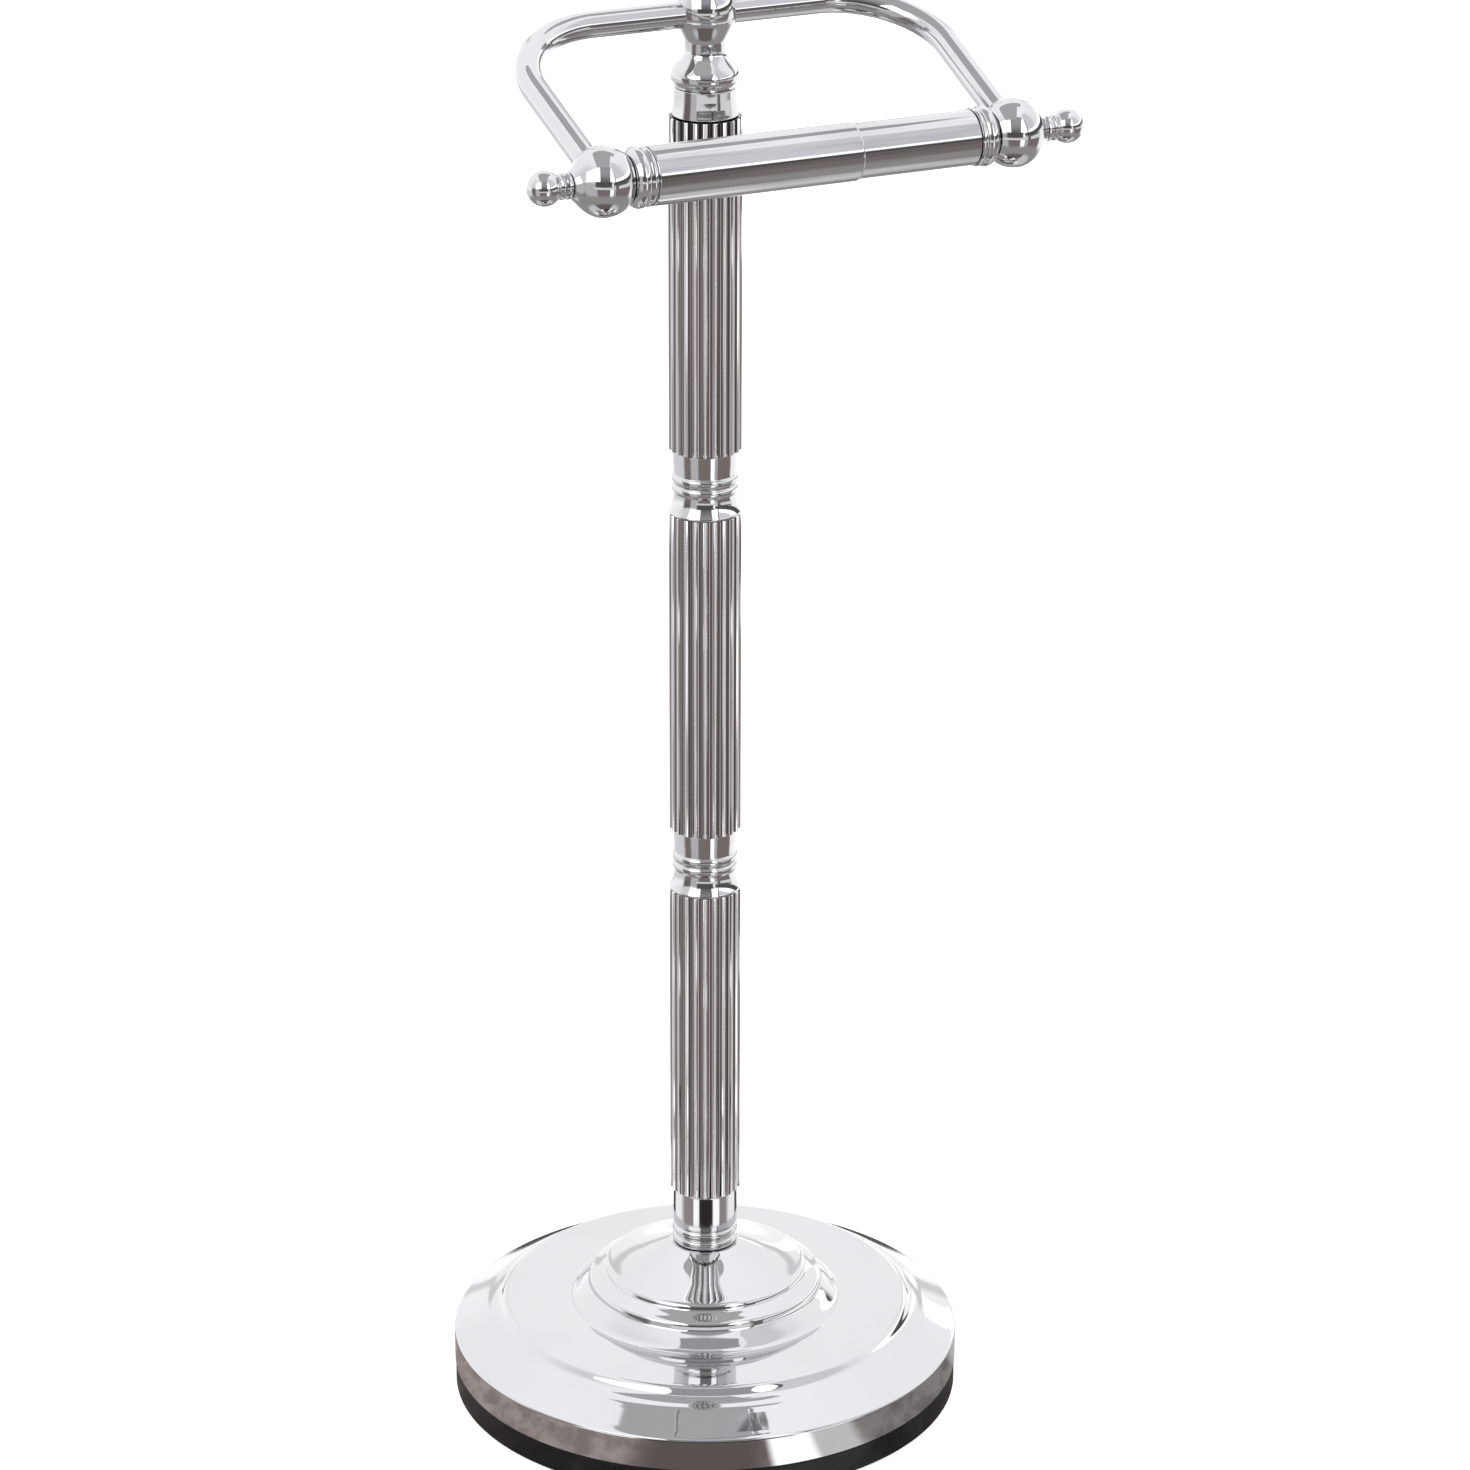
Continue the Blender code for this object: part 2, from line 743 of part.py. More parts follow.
make_floor_pad()
make_base_weight()
make_base_cover()
make_tie_rod()
make_fastening()
make_base_collar()
for tube_name, tube_bottom in zip(("lower_tube", "middle_tube", "upper_tube"), tube_bottoms):
    make_tube(tube_name, tube_bottom)
for joiner_name, tube_top in zip(("lower_joiner", "upper_joiner"), tube_tops):
    make_joiner(joiner_name, tube_top + seat_gap)
make_top_collar()
make_vase_neck()
make_hub()
make_finial()
for arm_side, arm_word in ((-1, "left"), (1, "right")):
    make_arm(arm_side, arm_word)
    make_bulb(arm_side, arm_word)
    make_knob(arm_side, arm_word)
make_cap(-1, "left", outer_bore_radius)
make_cap(1, "right", inner_bore_radius)
make_roller_tubes()
make_roller_spring()
shade_pieces()
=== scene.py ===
"""Looks of the freestanding toilet paper holder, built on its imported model."""

import math
from functools import partial

import bmesh
import bpy
from mathutils import Matrix, Vector


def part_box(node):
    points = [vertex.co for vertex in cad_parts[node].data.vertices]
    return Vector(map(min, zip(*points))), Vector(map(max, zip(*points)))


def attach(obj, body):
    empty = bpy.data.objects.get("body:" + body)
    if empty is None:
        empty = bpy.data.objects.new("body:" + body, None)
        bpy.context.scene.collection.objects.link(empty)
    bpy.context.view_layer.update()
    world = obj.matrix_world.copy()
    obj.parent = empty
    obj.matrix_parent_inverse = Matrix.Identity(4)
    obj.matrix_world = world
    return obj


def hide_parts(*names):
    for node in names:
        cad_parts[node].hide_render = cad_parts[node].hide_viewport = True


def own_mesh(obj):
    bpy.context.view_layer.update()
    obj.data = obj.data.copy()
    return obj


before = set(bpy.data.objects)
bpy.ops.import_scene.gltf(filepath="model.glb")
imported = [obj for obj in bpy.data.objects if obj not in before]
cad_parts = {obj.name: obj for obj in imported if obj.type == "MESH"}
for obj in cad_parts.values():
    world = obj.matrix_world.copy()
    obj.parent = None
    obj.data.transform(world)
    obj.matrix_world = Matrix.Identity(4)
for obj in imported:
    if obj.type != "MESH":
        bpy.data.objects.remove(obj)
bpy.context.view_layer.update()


# Foot cover
# The real piece is a round shell pressed from brass sheet and chrome plated: an upright rim, a sloped
# band, a cove up to a flat plateau, and a stepped dome that carries the column. It drops over the weight.
MM = 0.001
COVER_SEGMENTS = 192
ROD_BORE = 4.3
NO_RADIUS = 1e-6
WELD_DISTANCE = 1e-7
LONGEST_EASE = 0.45  # the part of an edge that may be rounded off
SMUDGED_SHARE = 0.955
DUST_COLOUR = (0.42, 0.41, 0.40)


def flowing(points, steps):
    """A smooth run that starts and ends on the outer points and is drawn towards those between."""
    held = [Vector(points[0])] * 2 + [Vector(p) for p in points] + [Vector(points[-1])] * 2
    run = []
    for i in range(len(held) - 3):
        a, b, c, d = held[i:i + 4]
        for k in range(steps):
            t = k / steps
            run.append((
                a * (1 - t) ** 3 + b * (3 * t**3 - 6 * t**2 + 4)
                + c * (-3 * t**3 + 3 * t**2 + 3 * t + 1) + d * t**3
            ) / 6)
    run.append(Vector(points[-1]))
    return [tuple(p) for p in run]


def eased(points, reach, steps=3):
    """A polyline whose inner corners are rounded off within reach of each corner."""
    run = [tuple(points[0])]
    for before, corner, after in zip(points, points[1:], points[2:]):
        corner = Vector(corner)
        back, ahead = Vector(before) - corner, Vector(after) - corner
        back *= min(LONGEST_EASE, reach / max(back.length, NO_RADIUS))
        ahead *= min(LONGEST_EASE, reach / max(ahead.length, NO_RADIUS))
        run += [tuple(corner + back * (1 - k / steps) ** 2 + ahead * (k / steps) ** 2) for k in range(steps + 1)]
    return run + [tuple(points[-1])]


def braced(points, reach=0.3):
    """Adds a point near both ends of each long run, so that its smooth shading stays even along it."""
    run = []
    for here, there in zip(points, points[1:]):
        here, there = Vector(here), Vector(there)
        length = (there - here).length
        run.append(here)
        if length > reach * 4:
            run += [here.lerp(there, reach / length), there.lerp(here, reach / length)]
    return run + [Vector(points[-1])]


def linked(name, data):
    """A new object in the scene."""
    made = bpy.data.objects.new(name, data)
    bpy.context.scene.collection.objects.link(made)
    return made


def skinned(name, rings, loop=False, caps=False, place=Matrix.Identity(4)):
    """A piece of rings of points in mm, each joined to the next. A ring of one point is a tip."""
    bm = bmesh.new()
    rows = [[bm.verts.new([part * MM for part in point]) for point in ring] for ring in rings]
    around = max(len(row) for row in rows)
    for row, other in zip(rows, rows[1:] + rows[:1] if loop else rows[1:]):
        for k in range(around):
            after = (k + 1) % around
            corners = dict.fromkeys((
                row[k % len(row)], row[after % len(row)], other[after % len(other)], other[k % len(other)],
            ))
            if len(corners) > 2:
                bm.faces.new(list(corners))
    if caps:
        bm.faces.new(rows[0])
        bm.faces.new(rows[-1])
    bmesh.ops.remove_doubles(bm, verts=bm.verts, dist=WELD_DISTANCE)
    bmesh.ops.recalc_face_normals(bm, faces=bm.faces)
    mesh = bpy.data.meshes.new(name)
    bm.to_mesh(mesh)
    bm.free()
    mesh.transform(place)
    return linked(name, mesh)


def circle(radius, height, segments):
    """A level ring of points. Its radius is a number, or a function of the angle."""
    run = []
    for k in range(segments):
        angle = math.tau * k / segments
        reach = radius(angle) if callable(radius) else radius
        run.append((reach * math.cos(angle), reach * math.sin(angle), height))
    return run


def turned(name, outline, segments, foot=0.0, place=Matrix.Identity(4), closed=True):
    """Turns an outline of radii, and of heights over the foot, about Z. A closed outline is a loop."""
    outline = [(radius, height + foot) for radius, height in outline]
    outline = braced(outline + outline[:1])[:-1] if closed else braced(outline)
    return skinned(name, [
        [(0, 0, height)] if radius < NO_RADIUS else circle(radius, height, segments) for radius, height in outline
    ], loop=closed, place=place)


def dress(piece, material, body, node, crease=38):
    """Smooths a piece, gives it its finish and lets it stand for its node."""
    piece.data.materials.clear()
    piece.data.materials.append(material)
    piece.data.shade_smooth()
    piece.data.set_sharp_from_angle(angle=math.radians(crease))
    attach(piece, body)
    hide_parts(node)


def wire(tree, source, target):
    tree.links.new(source, target)


def feed(tree, value, socket):
    """Gives a socket a number, a colour or the output of another node."""
    if isinstance(value, bpy.types.NodeSocket):
        wire(tree, value, socket)
    else:
        socket.default_value = (*value, 1) if isinstance(value, tuple) else value


def node_of(tree, kind, inputs, **settings):
    """The outputs of a new node with these settings. Its inputs are fed by their names or numbers."""
    node = tree.nodes.new(kind)
    for setting, value in settings.items():
        setattr(node, setting, value)
    for label, value in inputs.items():
        feed(tree, value, node.inputs[label])
    return node.outputs


def math_node(tree, operation, *values):
    """A math node whose inputs are numbers or sockets."""
    return node_of(tree, "ShaderNodeMath", dict(enumerate(values)), operation=operation)[0]


def product(tree, first, *others):
    for other in others:
        first = math_node(tree, "MULTIPLY", first, other)
    return first


def added(tree, start, *shares):
    """A sum of a start and of values that each come with their share."""
    for value, share in shares:
        start = math_node(tree, "MULTIPLY_ADD", value, share, start)
    return start


def ramp(tree, value, low, high, from_value=0.0, to_value=1.0):
    """Eases from one number to another while a value goes from low to high."""
    return node_of(tree, "ShaderNodeMapRange", {
        "Value": value, "From Min": low, "From Max": high, "To Min": from_value, "To Max": to_value,
    }, interpolation_type="SMOOTHSTEP")["Result"]


def blended(tree, factor, first, second):
    """Mixes two colours, each a tuple or a socket."""
    return node_of(tree, "ShaderNodeMix", {"Factor": factor, 6: first, 7: second}, data_type="RGBA")[2]


def layered(tree, colour, *layers):
    """Lays colours over the first one, each where its mask is one."""
    for mask, over in layers:
        colour = blended(tree, mask, colour, over)
    return colour


def noise(tree, place, scale, detail=2.0, roughness=0.5):
    return node_of(tree, "ShaderNodeTexNoise", {
        "Vector": place, "Scale": scale, "Detail": detail, "Roughness": roughness,
    })["Fac"]


def on_object(tree):
    """The place on the object that a material is asked for."""
    return tree.nodes.new("ShaderNodeTexCoord").outputs["Object"]


def effect_group(name, inputs, outputs):
    """A shader node group of named inputs and outputs: the group, and the sockets at both its ends."""
    group = bpy.data.node_groups.new(name, "ShaderNodeTree")
    for label, value in inputs.items():
        kind = "NodeSocketVector" if value is None else "NodeSocketFloat"
        socket = group.interface.new_socket(label, in_out="INPUT", socket_type=kind)
        if value is not None:
            socket.default_value = value
    for label in outputs:
        group.interface.new_socket(label, in_out="OUTPUT", socket_type="NodeSocketFloat")
    return group, group.nodes.new("NodeGroupInput").outputs, group.nodes.new("NodeGroupOutput").inputs


# Handling marks: cloudy smudges, wiping lines and fine dust, which every finish shows in its own measure
marks, marks_in, marks_out = effect_group("handling_marks", {
    "Place": None, "Smudge Size": 55.0, "Smudge Amount": 0.5, "Dust Size": 900.0, "Dust Amount": 0.5,
}, ["Smudge", "Dust", "Lines"])
cloud = node_of(marks, "ShaderNodeTexNoise", {
    "Vector": marks_in["Place"], "Scale": marks_in["Smudge Size"], "Detail": 4, "Distortion": 0.6,
})["Fac"]
cloudy = ramp(marks, cloud, 0.48, 0.72)
wire(marks, product(marks, cloudy, marks_in["Smudge Amount"]), marks_out["Smudge"])
specks = node_of(marks, "ShaderNodeTexVoronoi", {"Vector": marks_in["Place"], "Scale": marks_in["Dust Size"]})
dot = ramp(marks, specks["Distance"], 0.04, 0.16, 1.0, 0.0)
rare = ramp(marks, node_of(marks, "ShaderNodeSeparateColor", {"Color": specks["Color"]})[0], 0.93, 0.97)
wire(marks, product(marks, dot, rare, marks_in["Dust Amount"]), marks_out["Dust"])
across = node_of(marks, "ShaderNodeMapping", {"Vector": marks_in["Place"], "Scale": Vector((1, 1, 9))})[0]
wire(marks, noise(marks, across, 240, 3), marks_out["Lines"])


def new_finish(name, metallic=0):
    """A new material, with its tree, its shader and the place on the object."""
    material = bpy.data.materials.new(name)
    material.use_nodes = True
    tree = material.node_tree
    shader = tree.nodes["Principled BSDF"]
    shader.inputs["Metallic"].default_value = metallic
    return material, tree, shader, on_object(tree)


def marked(tree, place, smudge_size, smudge_amount, dust_size, dust_amount):
    """The handling marks in this measure."""
    group = tree.nodes.new("ShaderNodeGroup")
    group.node_tree = marks
    for value, socket in zip((place, smudge_size, smudge_amount, dust_size, dust_amount), group.inputs):
        feed(tree, value, socket)
    return group.outputs


def coated(tree, shader, colour, roughness, height):
    """Gives a shader its colour, its roughness and a height in metres that stands out of the surface."""
    wire(tree, colour, shader.inputs["Base Color"])
    wire(tree, roughness, shader.inputs["Roughness"])
    wire(tree, node_of(tree, "ShaderNodeBump", {"Distance": 1, "Height": height})[0], shader.inputs["Normal"])


def chrome_plate(name, tint=(0.61, 0.61, 0.62), gloss=0.03, ripple=0.000012, ripple_size=60, smudge_size=45):
    """Polished chrome plate: a near mirror with a faint ripple from polishing, smudges, wiping lines and dust."""
    material, tree, shader, place = new_finish(name, metallic=1)
    worn = marked(tree, place, smudge_size, smudge_amount=0.6, dust_size=700, dust_amount=0.6)
    smudged = tuple(part * SMUDGED_SHARE for part in tint)
    colour = layered(tree, tint, (worn["Smudge"], smudged), (worn["Dust"], DUST_COLOUR))
    haze = added(tree, gloss, (worn["Smudge"], 0.05), (worn["Lines"], 0.012), (worn["Dust"], 0.3))
    waves = noise(tree, place, ripple_size, 1, 0.4)
    grain = noise(tree, place, 900, 2)
    height = added(tree, 0.0, (waves, ripple), (grain, 0.0000002), (worn["Dust"], 0.000006))
    coated(tree, shader, colour, haze, height)
    return material


cover_dome = flowing([
    (14.0, 62.0), (15.5, 61.3), (18.0, 60.2), (21.0, 58.8), (24.0, 57.5), (27.0, 56.3), (30.0, 55.1), (33.0, 54.05),
    (36.0, 53.15), (38.2, 52.6), (39.5, 52.15), (40.1, 51.6), (40.35, 50.9), (40.5, 50.2),
], 4)
cover_step = flowing([
    (40.8, 49.7), (41.6, 49.2), (43.0, 48.6), (45.0, 47.8), (46.1, 47.2), (46.65, 46.5), (46.85, 45.5), (47.0, 44.6),
], 4)
cover_foot = flowing([
    (47.3, 43.9), (48.2, 43.0), (49.6, 41.7), (51.0, 40.2), (52.2, 38.9), (53.2, 38.0), (54.4, 37.6), (55.6, 37.75),
    (57.0, 37.8),
], 4)
cover_cove = flowing([
    (78.6, 37.8), (80.0, 37.75), (81.1, 37.2), (82.0, 36.0), (82.7, 34.9), (83.8, 34.0), (85.4, 33.2), (87.2, 32.6),
    (88.6, 32.15), (89.6, 31.6), (91.0, 30.85),
], 5)
cover_shoulder = flowing([
    (98.5, 26.7), (100.3, 25.75), (101.05, 25.3), (101.35, 25.0), (101.48, 24.6), (101.5, 24.0), (101.5, 22.6),
], 4)
cover_lining = [
    (101.5, 12.0), (101.3, 11.8), (100.5, 11.8), (100.3, 12.0), (100.3, 23.6), (99.9, 24.6), (88.0, 30.7),
    (82.3, 33.4), (81.0, 35.1), (79.3, 36.4), (55.0, 36.4), (53.2, 36.5), (51.8, 37.4), (50.3, 39.3), (47.4, 42.2),
    (46.0, 44.0), (45.6, 45.6), (44.5, 46.6), (41.0, 48.2), (39.3, 50.2), (38.7, 51.2), (29.6, 54.0), (23.5, 56.4),
    (17.5, 59.1), (13.8, 60.8), (ROD_BORE, 60.8), (ROD_BORE, 62.0),
]
cover_outline = cover_dome + cover_step + cover_foot + cover_cove + cover_shoulder + cover_lining
foot_cover = turned("foot_cover", cover_outline, COVER_SEGMENTS)
cover_chrome = chrome_plate("cover_chrome", ripple=0.00006, ripple_size=26, smudge_size=22)
dress(foot_cover, cover_chrome, "root", "base_cover")


# Foot weight and floor pad
# A sand-cast iron disc, painted satin black, gives the stand its balance. Its edge shows under the cover's
# rim, and a post in its middle carries the column. A rubber ring glued below keeps it off the floor.
WEIGHT_SEGMENTS = 160


def painted_iron(name):
    """Satin black paint over cast iron: the sand's grain shows through, with smudges and dust."""
    material, tree, shader, place = new_finish(name)
    worn = marked(tree, place, smudge_size=30, smudge_amount=1, dust_size=500, dust_amount=0.9)
    sand = noise(tree, place, 420, 4, 0.6)
    paint = layered(
        tree, blended(tree, sand, (0.004, 0.0037, 0.0036), (0.010, 0.0093, 0.009)),
        (worn["Smudge"], (0.018, 0.016, 0.015)), (worn["Dust"], (0.10, 0.095, 0.09)),
    )
    shader.inputs["Specular IOR Level"].default_value = 0.16
    sheen = added(tree, 0.30, (sand, 0.18), (worn["Smudge"], 0.12))
    coated(tree, shader, paint, sheen, product(tree, sand, 0.00012))
    return material


def rubber_sheet(name):
    """Matte black rubber with a fine skin and pale dust."""
    material, tree, shader, place = new_finish(name)
    skin = noise(tree, place, 1300, 3)
    bloom = ramp(tree, noise(tree, place, 35, 4), 0.4, 0.7)
    colour = blended(tree, bloom, (0.028, 0.028, 0.029), (0.060, 0.058, 0.056))
    coated(tree, shader, colour, added(tree, 0.7, (skin, 0.2)), product(tree, skin, 0.00003))
    return material


weight_outline = eased([
    (ROD_BORE, 60.4), (11.5, 60.4), (11.5, 30.0), (34.0, 18.0), (99.9, 18.0), (99.9, 11.5), (101.2, 11.5),
    (101.2, 1.1), (20.0, 1.1), (20.0, 15.1), (ROD_BORE, 15.1), (ROD_BORE, 60.0),
], 0.6)
foot_weight = turned("foot_weight", weight_outline, WEIGHT_SEGMENTS)
dress(foot_weight, painted_iron("black_cast_iron"), "root", "base_weight")
pad_outline = eased([(60.0, 0.8), (96.0, 0.8), (96.0, 0.0), (20.6, 0.0), (20.6, 0.8), (60.0, 0.8)], 0.2)
foot_pad = turned("foot_pad", pad_outline[:-1], WEIGHT_SEGMENTS)
dress(foot_pad, rubber_sheet("pad_rubber"), "root", "floor_pad")


# Fastening under the foot
# A zinc-plated rod runs from the finial down through the whole stack. A plain washer, a split spring
# washer and a hexagon nut draw it tight in the recess under the weight.
ROD_FOOT = 3.0
ROD_RADIUS = 4.0
THREAD_PITCH = 1.25
THREAD_LENGTH = 13.75
THREAD_DEPTH = 0.6
ROWS_A_PITCH = 6
TAPER_SLOPE = 0.7
TAPER_LENGTH = 0.8
WASHER_BORE = 4.4
LOCK_WASHER_RADIUS = 7.15
NUT_ACROSS = 13.0
NUT_BORE = 4.15


def plated_steel(name, tint=(0.60, 0.60, 0.58)):
    """Zinc-plated steel: satin, lightly mottled, with dull patches."""
    material, tree, shader, place = new_finish(name, metallic=1)
    worn = marked(tree, place, smudge_size=160, smudge_amount=1, dust_size=1200, dust_amount=0.5)
    dull_patch = tuple(part * 0.72 for part in tint)
    mottled = layered(tree, tint, (worn["Smudge"], dull_patch), (worn["Dust"], (0.30, 0.28, 0.25)))
    dull = added(tree, 0.26, (worn["Lines"], 0.16), (worn["Smudge"], 0.16))
    coated(tree, shader, mottled, dull, product(tree, worn["Lines"], 0.000012))
    return material


def heights(node):
    """The lowest and highest height of a node, in mm."""
    return tuple(corner.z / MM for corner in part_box(node))


def threaded(name, bottom, top, radius, segments=48):
    """A rod whose lower end tapers a little and carries a helical thread. Heights in mm."""
    def reach(rise, cut, angle):
        phase = (rise / THREAD_PITCH - angle / math.tau) % 1
        depth = THREAD_DEPTH * (1 - abs(2 * phase - 1)) if cut else 0
        return radius - max(depth, TAPER_SLOPE * (TAPER_LENGTH - rise))

    rows = int(THREAD_LENGTH / THREAD_PITCH * ROWS_A_PITCH) + 1
    rises = [(row * THREAD_PITCH / ROWS_A_PITCH, True) for row in range(rows)]
    rises += [(THREAD_LENGTH + THREAD_PITCH, False), (top - bottom, False)]
    return skinned(name, [
        circle(partial(reach, rise, cut), bottom + rise, segments) for rise, cut in rises
    ], caps=True)


zinc = plated_steel("zinc_plate")
column_rod = threaded("column_rod", ROD_FOOT, heights("tie_rod")[1], ROD_RADIUS)
dress(column_rod, zinc, "root", "tie_rod", crease=50)
washer_low, washer_high = heights("base_washer")
plain_washer = turned("plain_washer", eased([
    (8.0, washer_high), (12.0, washer_high), (12.0, washer_low), (WASHER_BORE, washer_low),
    (WASHER_BORE, washer_high), (8.0, washer_high),
], 0.25)[:-1], 96)
dress(plain_washer, zinc, "root", "base_washer")


def split_ring(name, inner, outer, low, high, gap_angle, steps=72):
    """A spring washer: a square wire ring, cut through on the slant, its ends a little apart in height."""
    lift = (high - low) * 0.16
    rings = []
    for k in range(steps + 1):
        angle = gap_angle / 2 + k / steps * (math.tau - gap_angle)
        bottom, top = (height + lift * (k / steps - 0.5) for height in (low + lift / 2, high - lift / 2))
        section = ((inner, bottom), (outer, bottom), (outer, top), (inner, top))
        rings.append([(reach * math.cos(angle), reach * math.sin(angle), height) for reach, height in section])
    return skinned(name, rings, caps=True)


lock_washer = split_ring("lock_washer", WASHER_BORE, LOCK_WASHER_RADIUS, *heights("spring_washer"), 0.16)
dress(lock_washer, plated_steel("blued_spring_steel", (0.34, 0.34, 0.35)), "root", "spring_washer")


def hexagon_nut(name, across, low, high, bore, segments=96):
    """A hexagon nut whose corners are turned off at both faces, with its bore."""
    corner = across / math.sqrt(3)
    face = across * 0.485
    rise = 0.55
    mouth = 0.5

    def hexagon(cone, angle):
        return min(across / 2 / math.cos((angle + math.pi / 6) % (math.pi / 3) - math.pi / 6), cone)

    cut_corner, full_corner = partial(hexagon, corner - 0.1), partial(hexagon, corner)
    rows = [
        (bore + mouth, low), (face, low), (cut_corner, low + rise), (full_corner, low + rise * 1.6),
        (full_corner, high - rise * 1.6), (cut_corner, high - rise), (face, high), (bore + mouth, high),
        (bore, high - mouth), (bore, low + mouth),
    ]
    return skinned(name, [circle(radius, height, segments) for radius, height in rows], loop=True)


base_nut = hexagon_nut("hexagon_nut", NUT_ACROSS, *heights("base_nut"), NUT_BORE)
dress(base_nut, zinc, "root", "base_nut", crease=25)


# Base collar
# A short turned brass collar with two rings at its foot, chrome plated. It sits on the dome and plugs
# into the lowest tube.
COLLAR_SEGMENTS = 128
column_chrome = chrome_plate("column_chrome", ripple=0.000004, ripple_size=120, smudge_size=70)
base_collar_outline = (
    eased([
        (ROD_BORE, 93.5), (11.6, 93.5), (11.6, 85.7), (12.55, 85.7), (12.7, 85.4), (12.75, 78.0), (12.7, 70.8),
        (12.2, 70.1), (12.2, 69.7),
    ], 0.15)
    + flowing([
        (12.35, 69.5), (12.8, 69.2), (13.0, 68.5), (13.05, 67.8), (13.0, 67.1), (12.8, 66.4), (12.35, 66.1),
    ], 3)
    + [(12.15, 65.9), (12.15, 65.7)]
    + flowing([(12.3, 65.5), (12.8, 65.2), (13.02, 64.6), (13.05, 63.9), (12.95, 63.1), (12.7, 62.6)], 3)
    + [(12.45, 62.3), (ROD_BORE, 62.3)]
)
dress(turned("foot_collar", base_collar_outline, COLLAR_SEGMENTS), column_chrome, "root", "base_collar")


# Fluted tubes
# Three alike lengths of drawn brass tube with hollow flutes and rounded crests between them, cut square
# and chrome plated. They are clamped end to end between the collars.
FLUTES = 22
POINTS_A_FLUTE = 32
CREST_RADIUS = 14.15
FLUTE_DEPTH = 1.05
CREST_ROUND_SHARE = 0.24
TUBE_BORE = 12.1
TUBE_EDGE = 0.25
TUBE_WELD = 0.0000005


def combined(tree, *parts):
    """A vector made of three numbers or sockets."""
    return node_of(tree, "ShaderNodeCombineXYZ", dict(enumerate(parts)))[0]


def growing_tree(name, **labels):
    """An empty geometry node tree whose inputs are listed by kind, with those inputs, its maths and products."""
    tree = bpy.data.node_groups.new(name, "GeometryNodeTree")
    for kind, names in (*labels.items(), ("Material", ["Finish"])):
        for label in names:
            tree.interface.new_socket(label, in_out="INPUT", socket_type="NodeSocket" + kind)
    tree.interface.new_socket("Geometry", in_out="OUTPUT", socket_type="NodeSocketGeometry")
    return tree, tree.nodes.new("NodeGroupInput").outputs, partial(math_node, tree), partial(product, tree)


def finished_tree(tree, geometry, finish):
    """Ends a tree: its instances made real and its finish set."""
    real = node_of(tree, "GeometryNodeRealizeInstances", {"Geometry": geometry})[0]
    coat = node_of(tree, "GeometryNodeSetMaterial", {"Geometry": real, "Material": finish})[0]
    node_of(tree, "NodeGroupOutput", {"Geometry": coat})
    return tree


def fluted_tube_tree():
    """Geometry nodes for one tube: a grid rolled up, its rows going up the outside and back down the bore.

    Across a flute, a hollow arc meets the round of the crest where both slope alike.
    """
    tree, given, number, times = growing_tree(
        "fluted_tube", Int=("Flutes", "Points a Flute"),
        Float=("Crest Radius", "Flute Depth", "Crest Round Share", "Bore Radius", "Edge", "Bottom", "Length"),
    )
    crest, depth, share, bore, edge, bottom, length = (given[k] for k in range(2, 9))

    def chosen_by(index, *choices):
        """The choice that an index points to."""
        switch = tree.nodes.new("GeometryNodeIndexSwitch")
        switch.data_type = "FLOAT"
        while len(switch.index_switch_items) < len(choices):
            switch.index_switch_items.new()
        for value, socket in zip((index, *choices), switch.inputs):
            feed(tree, value, socket)
        return switch.outputs[0]

    def arc_drop(radius, distance):
        """How far an arc of this radius falls at a distance from its top."""
        squares = number("SUBTRACT", times(radius, radius), times(distance, distance))
        return number("SUBTRACT", radius, number("SQRT", squares))

    rows = 7
    around = times(given["Flutes"], given["Points a Flute"])
    grid = node_of(tree, "GeometryNodeMeshGrid", {
        "Size X": 1, "Size Y": 1, "Vertices X": number("ADD", around, 1), "Vertices Y": rows,
    })["Mesh"]
    spot = node_of(tree, "ShaderNodeSeparateXYZ", {0: tree.nodes.new("GeometryNodeInputPosition").outputs[0]})
    turn = number("ADD", spot["X"], 0.5)
    row = number("ROUND", times(number("ADD", spot["Y"], 0.5), rows - 1))
    inset, upper = number("SUBTRACT", crest, edge), number("SUBTRACT", length, edge)
    radius = chosen_by(row, bore, inset, crest, crest, inset, bore, bore)
    fluted = chosen_by(row, 0.0, 1.0, 1.0, 1.0, 1.0, 0.0, 0.0)
    height = chosen_by(row, 0.0, 0.0, edge, upper, length, length, 0.0)

    half = number("DIVIDE", times(crest, math.pi), given["Flutes"])
    squares = number("ADD", times(half, half), times(depth, depth))
    both_arcs = number("DIVIDE", squares, times(depth, 2))
    crest_arc = times(both_arcs, share)
    hollow_arc = number("SUBTRACT", both_arcs, crest_arc)
    crest_width = times(half, share)
    hollow_width = number("SUBTRACT", half, crest_width)
    from_middle = number("SUBTRACT", number("FRACT", times(turn, given["Flutes"])), 0.5)
    from_hollow = times(times(number("ABSOLUTE", from_middle), 2), half)
    from_crest = number("SUBTRACT", half, from_hollow)
    on_crest = arc_drop(crest_arc, number("MINIMUM", from_crest, crest_width))
    in_hollow = number("SUBTRACT", depth, arc_drop(hollow_arc, number("MINIMUM", from_hollow, hollow_width)))
    cut = chosen_by(number("LESS_THAN", from_hollow, hollow_width), on_crest, in_hollow)

    distance = number("SUBTRACT", radius, times(cut, fluted))
    angle = times(turn, math.tau)
    rolled = node_of(tree, "GeometryNodeSetPosition", {"Geometry": grid, "Position": combined(
        tree, times(distance, number("COSINE", angle)),
        times(distance, number("SINE", angle)), number("ADD", bottom, height),
    )})[0]
    welded = node_of(tree, "GeometryNodeMergeByDistance", {"Geometry": rolled, "Distance": TUBE_WELD})[0]
    return finished_tree(tree, welded, given["Finish"])


